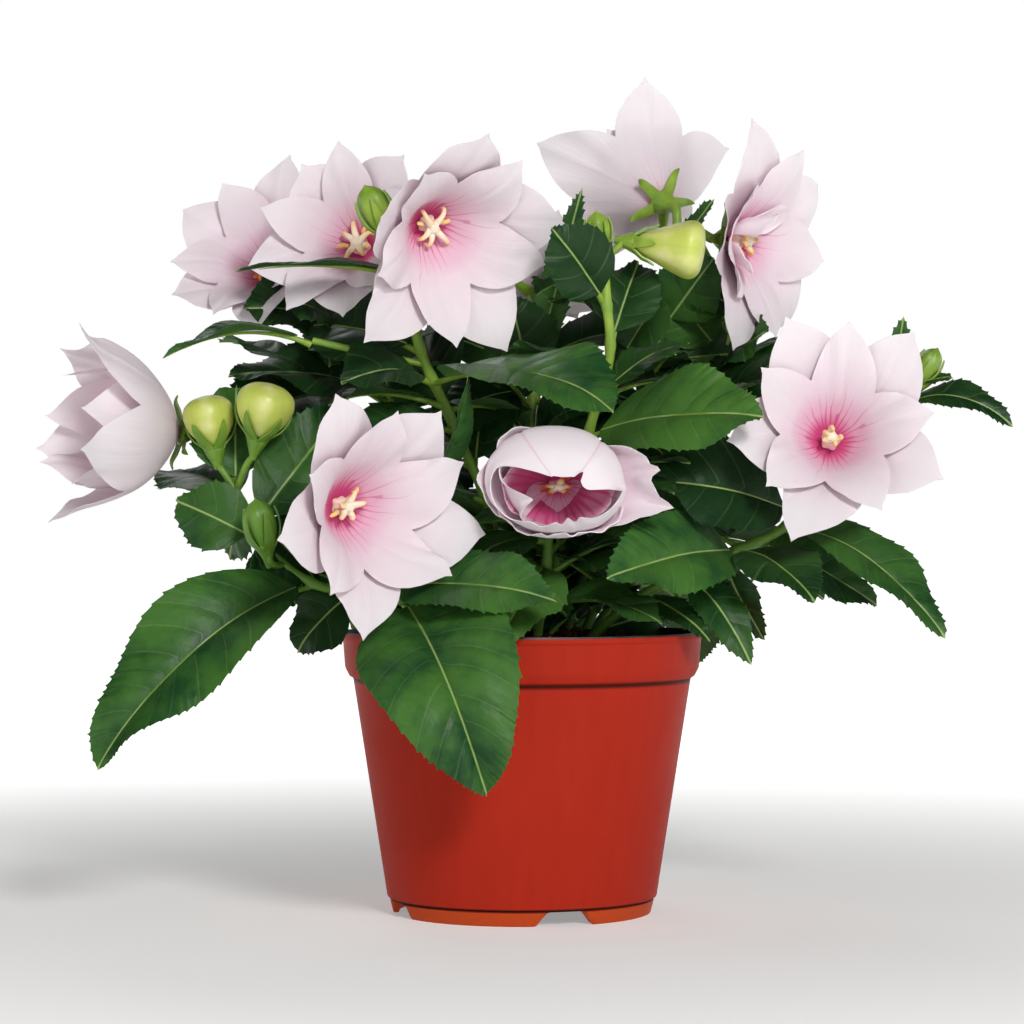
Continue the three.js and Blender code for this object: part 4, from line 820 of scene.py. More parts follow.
def turned(profile, steps, ribs, rib_depth, samples, mark=0):
    """A smooth closed body turned from a few (radius, height) points, with soft ribs."""
    line = on_line([(radius, 0, height) for radius, height in profile],
                   np.linspace(0, len(profile) - 1, samples))
    line = [(max(radius, 0.02), height) for radius, _, height in line]
    points, faces = lathed(line, steps)
    turns = np.arange(steps) * 2 * np.pi / steps
    points[:, :, :2] *= (1 - rib_depth * (1 - np.cos(ribs * turns)) / 2)[None, :, None]
    shares = np.repeat(np.linspace(0, 1, len(line)), steps)
    marks = np.stack([shares, np.full_like(shares, mark), np.cos(ribs * np.tile(turns, len(line)))], axis=1)
    return part(points, faces, marks)


def sepal(path, width):
    """A narrow pointed blade along a path of (reach, height), in the plane of its own azimuth."""
    grid = (SEPAL_ROWS, SEPAL_COLUMNS)
    path = on_line([(reach, 0, height) for reach, height in path], np.linspace(0, len(path) - 1, SEPAL_ROWS))
    share = np.linspace(0, 1, SEPAL_ROWS)
    across = np.linspace(-1, 1, SEPAL_COLUMNS)
    half = width / 2 * (1 - share) ** 0.75 * (1 + 0.5 * share) + 0.06
    points = np.stack([path[:, 0][:, None] + 0 * across, half[:, None] * across,
                       path[:, 2][:, None] + 0.25 * half[:, None] * np.abs(across)], axis=2)
    tangent = unit(np.gradient(path, axis=0))
    normals = np.stack([-tangent[:, 2], 0 * share, tangent[:, 0]], axis=1)
    normals = np.repeat(normals[:, None], SEPAL_COLUMNS, axis=1)
    marks = np.stack([share[:, None] + np.zeros(grid), np.full(grid, 0.35), np.zeros(grid)], axis=2)
    points, faces, marks, _ = sheet(points, normals, np.full(grid, SEPAL_THICKNESS), marks)
    return part(points, faces, marks)


def spun(made, turn):
    """A surface turned about the z axis."""
    cos, sin = math.cos(turn), math.sin(turn)
    return placed(made, lambda points: points @ np.array([[cos, sin, 0], [-sin, cos, 0], [0, 0, 1]]))


def sepals(path, width):
    """Five sepals round a cup, each between two petals."""
    return [spun(sepal(path, width), 2 * math.pi * (i + 0.5) / PETALS) for i in range(PETALS)]


def calyx(radius, sepal_path):
    """The ribbed cup under a bloom or balloon bud, and its five sepals."""
    cup = turned([(BRANCH_RADIUS, -CALYX_LENGTH), (BRANCH_RADIUS * 1.25, -CALYX_LENGTH * 0.8),
                  (radius * 0.68, -CALYX_LENGTH * 0.5), (radius * 0.96, -CALYX_LENGTH * 0.2),
                  (radius, -0.6), (radius * 0.8, -0.1)], 30, 10, 0.09, 14, 0.45)
    return [cup] + sepals([(radius * 0.7, -1.6), *sepal_path], SEPAL_WIDTH)


def green_bud(size):
    """A closed bud with its ribbed cup and the sepals that hug it."""
    cup = [(BRANCH_RADIUS, -1.25 * size), (BRANCH_RADIUS * 1.3, -0.9 * size), *scaled(BUD_CUP, size, size)]
    return [turned(scaled(BUD_PROFILE, size * BUD_SLIM, size), 40, PETALS, 0.12, 26, 0.7),
            turned(cup, 24, 10, 0.08, 12, 0.5),
            *sepals(scaled(BUD_SEPAL, size * BUD_SLIM, size), BUD_SEPAL_WIDTH * size)]


def stalk_parts(stem):
    """The stem and its branches, cups and buds, and the lines that they run along."""
    route = [np.array(point, float) for point in stem["route"]]
    if "bloom" in stem:
        route += ends_in(BLOOMS[stem["bloom"]])
    lines = [route]
    roots = [leaf[0] for leaf in stem["leaves"] if len(leaf) == 5]
    places = np.linspace(0, len(route) - 1, 14 * len(route))
    swell = sum(np.exp(-((places - root) / 0.09) ** 2) for root in roots)
    parts = [tube(on_line(route, places), STEM_RADIUS * (1 + 0.22 * np.minimum(swell, 1)), 12, 0.2)]
    if "bloom" in stem:
        bloom = BLOOMS[stem["bloom"]]
        spread = [(CALYX_RADIUS + reach, height) for reach, height in BLOOM_SEPAL]
        place = frame_at(bloom["base"], bloom["facing"])
        parts += [placed(made, place) for made in calyx(CALYX_RADIUS, spread)]
    for branch in stem.get("branches", []):
        line = [on_line(route, branch["at"])[0], *np.array(branch["route"], float)]
        if "balloon" in branch:
            bud = BALLOONS[branch["balloon"]]
            line.append(ends_in(bud)[1])
            path = PEAR_SEPAL if branch["balloon"] == PEAR_SHAPED else BALLOON_SEPAL
            hug = scaled(path, bud["width"] / 2, bud["length"])
            hug = [(reach + SEPAL_CLEAR, height) for reach, height in hug]
            place = frame_at(bud["base"], bud["facing"])
            parts += [placed(made, place) for made in calyx(BALLOON_CALYX_RADIUS, hug)]
        if "bud" in branch:
            place = frame_at(line[-1], branch["points"])
            parts += [placed(made, place) for made in green_bud(branch["bud"])]
        steps = np.linspace(0, len(line) - 1, 12 * len(line))
        parts.append(tube(on_line(line, steps), BRANCH_RADIUS, 10, 0.6))
        lines.append(line)
    return parts, lines


def leaf_stalk(root, tip, width, arch, facing):
    """The leaf's stalk and the raised midrib under its blade, in one tapering bar."""
    root, tip = np.array(root, float), np.array(tip, float)
    t = np.linspace(0, 0.86, 26)
    middle, _, normal = midrib_frame(root, tip, arch, facing, t)
    radius = np.interp(t, [0, LEAF_STALK / np.linalg.norm(tip - root), 0.5, 0.86], [1.25, 0.9, 0.45, 0.12])
    return tube(middle - normal * (0.45 + radius * 0.8)[:, None], radius, 8, 0.3)


# Small leaves fill the inside of the plant, where little light comes. Some close the gaps between the
# large ones, each given by its place on the stem, its tip, its width and the azimuth that it faces. The
# others go round the stems by the golden turn. They stay clear of the blooms and within the stems.
CLOSING_LEAVES = {
    "upper_back": [(3.1, (64, 3, 217), 25, 16), (2.8, (75, 29, 186), 24, 28), (2.4, (51, -6, 145), 24, 13),
                   (2.6, (16, 6, 158), 23, -22), (3.7, (32, 21, 180), 24, -16)],
    "upper_right": [(3.5, (47, 15, 209), 24, -18), (3.4, (81, -2, 192), 24, 14), (3.3, (99, 7, 175), 28, 29)],
    "upper_left": [(4.2, (-78, -7, 202), 26, -20), (4.3, (-93, 4, 200), 30, -31),
                   (3.3, (-37, -12, 195), 26, 11)],
    "back": [(2.8, (-4, 6, 205), 26, -8), (3.0, (-25, 6, 191), 24, -25), (2.3, (24, -2, 170), 24, 20)],
    "left": [(5.0, (-94, -8, 174), 30, -1), (4.1, (-112, -27, 136), 24, -26), (4.6, (-65, -29, 108), 25, 22),
             (4.4, (-74, -19, 102), 24, 12), (2.3, (-79, -15, 115), 25, -28)],
    "rear_right": [(1.0, (50, 39, 97), 25, 24)],
    "upper_middle": [(2.5, (-13, 10, 171), 25, 3)],
}
CLOSING_ARCH = 3
CLOSING_ELEVATION = 25
INNER_LEAVES = 14
INNER_LENGTHS = (26, 42)
GOLDEN_TURN = 137.5
INNER_REACH = 70
INNER_HEIGHTS = (91, 212)
INNER_FRONT = -36
INNER_WIDTH_SHARE = 0.62
INNER_ARCH_SHARE = 0.12
INNER_ELEVATION = 60
PAINTED_LIGHT_FRONT_Y = -56


def inner_leaves(route, first):
    """Rows like those of a stem's leaves: place, tip, width, arch and facing."""
    rows = []
    for k in range(INNER_LEAVES):
        at = 0.9 + (len(route) - 1.9) * (k + tones.random()) / INNER_LEAVES
        azimuth = GOLDEN_TURN * (first + k) % 360
        length = tones.uniform(*INNER_LENGTHS)
        root = on_line(route, at)[0]
        tip = root + heading((azimuth, tones.uniform(-15, 35))) * length
        clear = True
        for grown in [*BLOOMS.values(), *BALLOONS.values()]:
            for place in (tip, (root + tip) / 2, (root + 3 * tip) / 4):
                apart = place - np.array(grown["base"])
                ahead = apart @ heading(grown["facing"])
                aside = math.sqrt(max(0, apart @ apart - ahead ** 2))
                clear = clear and not (-6 < ahead < 1.1 * grown["length"]
                                       and aside < 0.42 * grown["length"] + 0.9 * max(ahead, 0))
        within = (math.hypot(tip[0], tip[1]) < INNER_REACH and tip[1] > INNER_FRONT
                  and INNER_HEIGHTS[0] < tip[2] < INNER_HEIGHTS[1])
        if clear and within:
            rows.append((at, tip, length * INNER_WIDTH_SHARE, length * INNER_ARCH_SHARE,
                         (azimuth, INNER_ELEVATION)))
    return rows


# A young stalk is yellow-green and a little translucent. Older ones and the cups are a fuller green.
STALK_YOUNG = "B2C648"
STALK_OLD = "5C862C"
STALK_BLOTCH = 7.14
STALK_STREAK = 1.43
STALK_AGES = (90, 200)
STALK_SHOWS_THROUGH = (0.6, 1, 0.25)
green_skin, tree, shader = finish("green_stalk_skin", Roughness=0.42, Specular_IOR_Level=0.4,
                                  Subsurface_Weight=0.25, Subsurface_Scale=0.0015)
shader.inputs["Subsurface Radius"].default_value = STALK_SHOWS_THROUGH
place = node(tree, "TexCoord", {}).outputs["Object"]
height = node(tree, "SeparateXYZ", {0: place}).outputs[2]
younger = node(tree, "MapRange", {"Value": height, 1: STALK_AGES[0] * MM, 2: STALK_AGES[1] * MM}).outputs[0]
blotch = node(tree, "TexNoise", {"Vector": place, "Scale": per_metre(STALK_BLOTCH), "Detail": 3}).outputs[0]
young = node(tree, "Math", {0: younger, 1: blotch, 2: -0.15}, operation="MULTIPLY_ADD").outputs[0]
shade = node(tree, "Mix", {0: young, 6: linear(STALK_OLD), 7: linear(STALK_YOUNG)}, data_type="RGBA")
streaks = node(tree, "TexNoise", {"Vector": place, "Scale": per_metre(STALK_STREAK), "Detail": 3}).outputs[0]
cover(tree, shader, shade.outputs[2], streaks, 0.2, 0.3)

tones = random.Random(11)
for number, (name, stem) in enumerate(STEMS.items()):
    stalks, lines = stalk_parts(stem)
    blades = []
    closing = [(at, tip, width, CLOSING_ARCH, (azimuth, CLOSING_ELEVATION))
               for at, tip, width, azimuth in CLOSING_LEAVES.get(name, [])]
    rows = stem["leaves"] + closing + inner_leaves(stem["route"], 7 * number)
    for at, tip, width, arch, facing, *branch in rows:
        tone = tones.random()
        # Painted light: a random share, and more for a leaf whose tip reaches out at the front.
        light = tone * 0.5 + (0.45 if tip[1] < PAINTED_LIGHT_FRONT_Y else 0)
        line = lines[branch[0] if branch else 0]
        root = on_line(line, at)[0]
        blades.append(leaf_blade(root, tip, width, arch, facing, tone, light))
        stalks.append(leaf_stalk(root, tip, width, arch, facing))
    piece("stalk_" + name, stalks, [green_skin], "leafy_stem", "stem_" + name)
    piece("foliage_" + name, blades, [leaf_upper, leaf_under], "leafy_stem", "stem_" + name)


# Blooms: two rings of five petals, one inside the other and turned half a petal. Each ring is a bell
# below and pointed above. The petals are soft and thin, with drawn-out points and edges that ripple.
INNER_RING_SCALE = 0.84
INNER_RING_TIGHTER = 7
INNER_RING_LIFT = 1.8
OUTER_RING_LIFT = 0.7
NOTCH_SHARE = 0.58
CORE_RADIUS = 2.6
PETAL_THICKNESS = 0.32
PETAL_COLUMNS = 20
PETAL_ROWS = 24
PROFILE_STEPS = 24
LEAN_START = 0.4
CREASE_DEPTH = 0.3
CROWN_HEIGHT = 0.55
USUAL_LENGTH = 42
HALF_OPEN = "front"
SOFTER = {
    "upper_middle": dict(outer={2: (-44, 0.86)}, inner={2: (-16, 0.94), 3: (-20, 0.96)}),
    "upper_back": dict(inner={0: (-10, 0.8), 1: (-10, 0.8), 2: (-10, 0.8), 3: (-10, 0.8), 4: (-10, 0.8)}),
    "side_left": dict(outer={0: (10, 1.05)}),
}


def softened(habit, changes):
    """A ring's habit with the lean and reach of some petals changed as they curl in life."""
    lean, reach = list(habit["lean"]), list(habit["reach"])
    for petal, change in changes.items():
        lean[petal], reach[petal] = change
    return dict(habit, lean=lean, reach=reach)


def petal_reach(offset):
    """How far a petal reaches between its middle line, at 0, and the notch beside it, at 1."""
    return 1 - (1 - NOTCH_SHARE) * (0.56 * offset ** 0.6 + 0.44 * offset ** 2.2)


def petal_profile(opening, length, lean):
    """Radii and heights along a petal, for each of many leans at once, and a little past its point."""
    shares = (np.arange(PROFILE_STEPS * 1.25) + 0.5) / PROFILE_STEPS
    away = np.interp(shares * (len(opening) - 1), range(len(opening)), opening)
    angles = np.radians(away + smooth(shares, LEAN_START, 1) * np.asarray(lean)[:, None])
    steps = np.stack([np.sin(angles), np.cos(angles)], axis=2) * length / PROFILE_STEPS
    start = np.zeros((len(steps), 1, 2)) + (CORE_RADIUS, 0)
    return np.concatenate([start, start + np.cumsum(steps, axis=1)], axis=1)


def petal_ring(opening, length, roll, habit, lift, chance, depth):
    """One ring as a closed sheet. Its pattern values are the way round, as x and y, and the share out."""
    columns = PETALS * PETAL_COLUMNS
    place = np.arange(columns) / PETAL_COLUMNS * 2 - 1
    petal = np.floor((place + 1) / 2).astype(int) % PETALS
    offset = place - 2 * np.floor((place + 1) / 2)
    offset = np.sign(offset) * np.abs(offset) ** 1.2
    own = np.cos(np.pi / 2 * offset) ** 2
    lean, turn, reach = (np.array(habit[key], float)[petal] for key in ("lean", "turn", "reach"))
    rows = np.linspace(0, 1, PETAL_ROWS) ** 0.9
    share = rows[:, None] * (petal_reach(np.abs(offset)) * (1 + (reach - 1) * own))[None, :]
    evenly = roll + (petal + offset / 2) * 360 / PETALS
    around = np.radians(evenly + turn * own * smooth(share, LEAN_START, 1))
    profile = petal_profile(opening, length, lean * own)
    steps = share * PROFILE_STEPS
    before = steps.astype(int)
    column = np.arange(columns)[None, :]
    low, high = profile[column, before], profile[column, before + 1]
    at = low + (high - low) * (steps - before)[..., None]
    slope = unit(high - low)
    radius, height = at[..., 0], at[..., 1] + lift
    phases = np.array([chance.uniform(0, 2 * np.pi) for _ in range(PETALS)])[petal]
    sway = np.array([chance.uniform(-1, 1) for _ in range(PETALS)])[petal]
    edge = rows[:, None] ** 3
    ripple = 0.75 * np.sin(1.7 * np.pi * offset + phases) + 0.3 * np.sin(4.1 * np.pi * offset + phases * 2)
    ripple = edge * ripple * np.abs(np.sin(np.pi * offset))
    curl = sway * 2.2 * own * smooth(share, 0.6, 1.05)
    crown = CROWN_HEIGHT * np.cos(np.pi * offset)[None, :] * smooth(share, 0.2, 0.55)
    crease = CREASE_DEPTH * np.exp(-(np.abs(offset) / 0.06) ** 2) * smooth(share, 0.25, 0.7)
    rise = (crown + ripple + curl - crease) * length / USUAL_LENGTH
    cos, sin = np.cos(around), np.sin(around)
    normal = np.stack([-slope[..., 1] * cos, -slope[..., 1] * sin, slope[..., 0]], axis=2)
    points = np.stack([radius * cos, radius * sin, height], axis=2) + normal * rise[..., None]
    thickness = PETAL_THICKNESS * (1 - 0.65 * rows[:, None]) + 0 * offset
    turned_by = np.radians(evenly)
    marks = np.stack([np.cos(turned_by) + 0 * share, np.sin(turned_by) + 0 * share, share + depth], axis=2)
    return sheet(points, normal, thickness, marks, round_closed=True)


# A petal is soft, matt and a little translucent. Its face is deep pink at the very foot, with about
# thirty fine veins of uneven length that fade out, and almost white towards the points. Its back is paler.
PETAL_WHITE = "EBDDE3"
PETAL_BLUSH = "E1B9C9"
PETAL_PINK = "DF93B3"
PETAL_DEEP = "C23B74"
PETAL_BACK = "EADFE4"
VEINS_ROUND = 27
BLUSH_PATCH = 14.3
PETAL_SHOWS_THROUGH = (1, 0.6, 0.7)


def petal_finish(name, pale, pink, deep, strength):
    """One side of a petal, whose pattern values are the way round, as x and y, and the share out."""
    made, tree, shader = finish(name, Roughness=0.62, Specular_IOR_Level=0.2, Subsurface_Weight=0.3,
                                Subsurface_Scale=0.002, Sheen_Weight=0.08, Sheen_Roughness=0.5)
    shader.inputs["Subsurface Radius"].default_value = PETAL_SHOWS_THROUGH
    pattern = node(tree, "Attribute", {}, attribute_name="pattern").outputs["Vector"]
    to_right, to_top, share = node(tree, "SeparateXYZ", {0: pattern}).outputs
    place = node(tree, "TexCoord", {}).outputs["Object"]
    turn = node(tree, "Math", {0: to_top, 1: to_right}, operation="ARCTAN2").outputs[0]
    bent = node(tree, "Mapping", {"Vector": pattern, "Scale": (2.2, 2.2, 2)}).outputs[0]
    wobble = node(tree, "TexNoise", {"Vector": bent, "Scale": 1, "Detail": 2}).outputs[0]
    lane = node(tree, "Math", {0: turn, 1: VEINS_ROUND / (2 * math.pi), 2: wobble},
                operation="MULTIPLY_ADD").outputs[0]
    lane = node(tree, "Math", {0: wobble, 1: 1.1, 2: lane}, operation="MULTIPLY_ADD").outputs[0]
    number = node(tree, "Math", {0: lane}, operation="FLOOR").outputs[0]
    within = node(tree, "Math", {0: lane}, operation="FRACT").outputs[0]
    aside = node(tree, "Math", {0: within, 1: 0.5}, operation="SUBTRACT").outputs[0]
    aside = node(tree, "Math", {0: aside}, operation="ABSOLUTE").outputs[0]
    aside = node(tree, "Math", {0: aside, 1: share}, operation="MULTIPLY").outputs[0]
    vein = node(tree, "MapRange", {"Value": aside, 1: 0.01, 2: 0.03, 3: 1, 4: 0},
                interpolation_type="SMOOTHSTEP").outputs[0]
    own = node(tree, "TexWhiteNoise", {"W": number}, noise_dimensions="1D").outputs["Value"]
    ends = node(tree, "Math", {0: own, 1: 0.34, 2: 0.3}, operation="MULTIPLY_ADD").outputs[0]
    left = node(tree, "Math", {0: share, 1: ends}, operation="DIVIDE").outputs[0]
    fading = node(tree, "MapRange", {"Value": left, 1: 0.3, 2: 1, 3: 0.7 * strength, 4: 0}).outputs[0]
    soft = node(tree, "TexNoise", {"Vector": place, "Scale": per_metre(BLUSH_PATCH), "Detail": 2}).outputs[0]
    wander = node(tree, "Math", {0: soft, 1: 0.2, 2: -0.1}, operation="MULTIPLY_ADD").outputs[0]
    reach = node(tree, "Math", {0: share, 1: wander}, operation="ADD").outputs[0]
    outer = node(tree, "MapRange", {"Value": reach, 1: 0.15, 2: 0.95, 3: 0.85 * strength, 4: 0}).outputs[0]
    middle = node(tree, "MapRange", {"Value": reach, 1: 0.1, 2: 0.46, 3: 0.85 * strength, 4: 0}).outputs[0]
    throat = node(tree, "MapRange", {"Value": reach, 1: 0.07, 2: 0.2, 3: 0.9 * strength, 4: 0}).outputs[0]
    drawn = node(tree, "Math", {0: vein, 1: fading}, operation="MULTIPLY").outputs[0]
    shade = linear(pale)
    for part_pink, over in ((outer, PETAL_BLUSH), (middle, pink), (throat, deep), (drawn, deep)):
        shade = node(tree, "Mix", {0: part_pink, 6: shade, 7: linear(over)}, data_type="RGBA").outputs[2]
    ridges = node(tree, "Mapping", {"Vector": pattern, "Scale": (30, 30, 2.5)}).outputs[0]
    ribbed = node(tree, "TexNoise", {"Vector": ridges, "Scale": 1, "Detail": 3}).outputs[0]
    cover(tree, shader, shade, ribbed, 0.25, 0.4)
    return made


petal_face = petal_finish("petal_face", PETAL_WHITE, PETAL_PINK, PETAL_DEEP, 1)
petal_back = petal_finish("petal_back", PETAL_BACK, PETAL_BLUSH, PETAL_PINK, 0.5)

core = turned([(0.1, 0.3), (CORE_RADIUS, 0.35), (CORE_RADIUS + 0.2, 1.4), (CORE_RADIUS, 2.5), (0.1, 2.6)],
              24, PETALS, 0.05, 12)
core = part(core[0], core[1], core[2] * 0 + (1, 0, 0.05))
for number, (name, bloom) in enumerate(BLOOMS.items()):
    if name == HALF_OPEN:
        continue
    chance = random.Random(100 + number)
    soft = SOFTER.get(name, {})
    opening = np.array(bloom["opening"], float)
    outer = petal_ring(opening, bloom["length"], bloom["roll"] + 180 / PETALS,
                       softened(bloom["outer"], soft.get("outer", {})), OUTER_RING_LIFT, chance, 0.1)
    inner = petal_ring(opening - INNER_RING_TIGHTER, bloom["length"] * INNER_RING_SCALE, bloom["roll"],
                       softened(bloom["inner"], soft.get("inner", {})), INNER_RING_LIFT, chance, 0)
    in_frame = frame_at(bloom["base"], bloom["facing"])
    parts = [placed(made, in_frame) for made in (outer, inner, core)]
    piece("corolla_" + name, parts, [petal_face, petal_back], "petals", "bloom_" + name)


# The front bloom is only half open. Its upper petals still hold together in a white hood with two thin
# pink seams, the lower ones bulge and end in a ruffled lip, and two outer ones spread to the right.
# Each row: degrees round from the right, radius and height of the bulge, then those of the edge.
SHELL = ((0, 20, 12, 19, 20), (6, 20, 12, 8, 26), (34, 20, 12, 6.5, 27), (48, 19.5, 12, 9, 26),
         (56, 19.5, 12, 6, 27), (95, 19.5, 12, 5, 27), (132, 22, 12, 7, 26), (146, 23, 12, 12, 24),
         (160, 23.5, 12, 21, 19), (185, 22, 12, 21.5, 17), (207, 18.5, 12, 18.5, 20),
         (222, 16.5, 12, 13.5, 25), (238, 15, 12, 12.4, 25), (254, 14.2, 12, 9.4, 28),
         (268, 13.8, 12, 9.8, 26), (280, 14, 12, 7.6, 29), (293, 14.6, 12, 9.8, 26),
         (306, 15.5, 12, 9, 29), (322, 17, 12, 12.5, 26), (340, 18.5, 12, 15.5, 25))
LINING = ((0, 15, 8, 17, 15), (60, 12, 8, 13, 15), (120, 12, 8, 14, 15), (180, 15, 8, 18, 15),
          (240, 12, 8, 13, 15), (300, 12, 8, 13, 15))
RIGHT_PETALS = ((-50, 15, 6, 17.5, 13), (-34, 18, 6, 21, 14), (-20, 21, 6, 26, 14), (-12, 22, 6, 33, 13),
                (-9, 22, 6, 37, 12), (-6, 22, 6, 32.5, 13), (1, 22, 6, 29, 14), (7, 22, 6, 28, 14),
                (11, 22, 6, 32, 12), (15, 22, 6, 29, 13), (22, 22, 6, 28.5, 12), (34, 20, 6, 23, 12),
                (48, 17, 6, 18, 11))
LEFT_PETALS = ((110, 18, 6, 19, 12), (132, 20, 6, 24.5, 12), (150, 21, 6, 23, 12), (168, 21, 6, 25.5, 12),
               (190, 20, 6, 23.5, 12), (212, 18, 6, 19, 12), (235, 15, 6, 15.5, 12))
LOWER_PETAL = ((196, 20, 11, 20.5, 15), (225, 17.5, 11, 18, 18), (262, 15.2, 11, 13.5, 20),
               (300, 15.6, 11, 15, 20), (330, 19, 11, 20, 18), (344, 20, 11, 20, 14))
FOLDED_IN = ((156, 18, 10, 20.5, 18), (166, 18, 10, 20, 19), (180, 17, 10, 14, 22), (194, 16, 10, 9.5, 23),
             (203, 15, 10, 12, 23), (212, 14, 10, 15.5, 22), (220, 13, 10, 15, 20))
HOOD_SEAMS = (50, 125)
SEAM_DEPTH = 0.5
SEAM_WIDTH = 1.6
SHELL_COLUMNS = 132
LINING_COLUMNS = 72
OUTER_COLUMNS = 40
SHELL_ROWS = 34
FRILL = 0.45
LINING_FRILL = 0.3


def shaped_petals(rows, share, columns, frill, closed=False):
    """A sheet through profiles at several places round. Its pattern values are those of a petal ring."""
    rows = np.array(rows, float)
    if closed:
        rows = np.vstack([rows[-1] - (360, 0, 0, 0, 0), rows, rows[0] + (360, 0, 0, 0, 0)])
        places = np.linspace(rows[1, 0], rows[-1, 0], columns + 1)[:-1]
    else:
        places = np.linspace(rows[0, 0], rows[-1, 0], columns)
    at = np.interp(places, rows[:, 0], range(len(rows)))
    around = np.radians(places)
    line, tops = on_line(rows[:, [1, 2, 3]], at), on_line(rows[:, [3, 4, 4]], at)[:, 1]
    profiles = []
    for (bulge, rise, edge), top in zip(line, tops):
        over = (bulge + edge) / 2 + 0.14 * abs(bulge - edge)
        path = [(CORE_RADIUS - 0.4, 0, 0), (bulge * 0.62, 0, rise * 0.32), (bulge, 0, rise),
                (over, 0, rise + (top - rise) * 0.62), (edge, 0, top)]
        profiles.append(on_line(path, np.linspace(0, 4, SHELL_ROWS)))
    profiles = np.stack(profiles, axis=1)
    out = np.linspace(0, 1, SHELL_ROWS)[:, None]
    ruffle = frill * smooth(out, 0.72, 1) * (np.sin(around * 13) + 0.6 * np.sin(around * 23 + 1))
    radius, height = profiles[..., 0] + ruffle, profiles[..., 2]
    slope = unit(np.gradient(profiles, axis=0))
    cos, sin = np.cos(around) + 0 * out, np.sin(around) + 0 * out
    normal = np.stack([-slope[..., 2] * cos, -slope[..., 2] * sin, slope[..., 0]], axis=2)
    if closed:
        for seam in HOOD_SEAMS:
            pinch = np.exp(-((places - seam) / SEAM_WIDTH) ** 2)
            radius = radius - SEAM_DEPTH * pinch * smooth(out, 0.1, 0.4)
    points = np.stack([radius * cos, radius * sin, height], axis=2)
    marks = np.stack([cos, sin, share[0] + (share[1] - share[0]) * out + 0 * around], axis=2)
    return sheet(points, normal, np.full(points.shape[:2], PETAL_THICKNESS), marks, round_closed=closed)


# The hood's skin is the same white petal, with a thin pink line along each seam.
hood_skin = petal_back.copy()
hood_skin.name = "hood_petal_back"
tree = hood_skin.node_tree
shader = tree.nodes["Principled BSDF"]
pattern = node(tree, "Attribute", {}, attribute_name="pattern").outputs["Vector"]
to_right, to_top, share = node(tree, "SeparateXYZ", {0: pattern}).outputs
turn = node(tree, "Math", {0: to_top, 1: to_right}, operation="ARCTAN2").outputs[0]
lines = []
for seam in HOOD_SEAMS:
    aside = node(tree, "Math", {0: turn, 1: math.radians(seam)}, operation="SUBTRACT").outputs[0]
    aside = node(tree, "Math", {0: aside}, operation="ABSOLUTE").outputs[0]
    lines.append(node(tree, "MapRange", {"Value": aside, 1: 0.006, 2: 0.03, 3: 0.4, 4: 0}).outputs[0])
seams = node(tree, "Math", {0: lines[0], 1: lines[1]}, operation="MAXIMUM").outputs[0]
plain = shader.inputs["Base Color"].links[0].from_socket
shade = node(tree, "Mix", {0: seams, 6: plain, 7: linear(PETAL_PINK)}, data_type="RGBA").outputs[2]
tree.links.new(shade, shader.inputs["Base Color"])

front = BLOOMS[HALF_OPEN]
shells = [shaped_petals(SHELL, (0.1, 1), SHELL_COLUMNS, 0, closed=True),
          shaped_petals(LINING, (0.02, 0.26), LINING_COLUMNS, LINING_FRILL, closed=True)]
shells += [shaped_petals(rows, (0.1, 1), OUTER_COLUMNS, FRILL)
           for rows in (RIGHT_PETALS, LEFT_PETALS, LOWER_PETAL, FOLDED_IN)]
shells.append(core)
in_frame = frame_at(front["base"], front["facing"])
piece("corolla_front", [placed(made, in_frame) for made in shells], [petal_face, hood_skin], "petals",
      "bloom_front")


# The bloom at the top right has small folded petals in its throat, as a double one often has: a white
# one stands over the stamens and two smaller ones lean in beside it.
TONGUE_COLUMNS = 24
TONGUE_FRILL = 0.4
TONGUES = (((84, 6, 6, 6, 14), (104, 8, 8, 9, 19), (124, 8, 8, 11, 22), (144, 8, 8, 9, 19),
            (162, 6, 6, 6, 14)),
           ((186, 7, 5, 9, 9), (206, 8, 6, 13, 15), (226, 8, 6, 14, 17), (246, 7, 5, 9, 10)),
           ((20, 7, 5, 10, 9), (40, 8, 6, 15, 15), (60, 8, 6, 15, 16), (78, 7, 5, 9, 9)))
doubled = BLOOMS["upper_right"]
in_frame = frame_at(doubled["base"], doubled["facing"])
tongues = [placed(shaped_petals(rows, (0.7, 1), TONGUE_COLUMNS, TONGUE_FRILL), in_frame) for rows in TONGUES]
piece("throat_petals_upper_right", tongues, [petal_face, petal_back], "petals", "bloom_upper_right")


# The heart of a bloom: five broad cream stamen feet in a low dome, a thick fleshy style with a round
# head, its five lobes curled over like hooks, and a few long anthers. Some have ripened to orange.
STYLE_FOOT = 2.9
STYLE_HEIGHT = 5.2
CREAM = "EFE2CF"
ANTHER_YELLOW = "E6C67E"
ANTHER_ORANGE = "E0853C"
ANTHER_RED = "BE4A2E"
POLLEN_GRAIN = 0.625
LOBE_SPREADS = (0.7, 1.25)
LOBE_RADII = ((0, 0.4, 0.85, 1), (1.3, 0.85, 0.6, 0.25))
ANTHER_RADII = ((0, 0.3, 0.5, 0.9, 1), (0.9, 0.45, 0.8, 0.75, 0.2))
ANTHER_TURNS = (36, 144)
STYLE_TOP = STYLE_FOOT + STYLE_HEIGHT
HOOKED_LOBE = np.array(((1.3, 0, -1), (3.4, 0, 0.3), (5.6, 0, 0.5), (6.9, 0, -0.6), (6.7, 0, -2.2)))
UPRIGHT_LOBE = np.array(((1.3, 0, -1), (2.3, 0, 0.5), (2.5, 0, 1.6), (1.9, 0, 2.4), (1.2, 0, 2.6)))
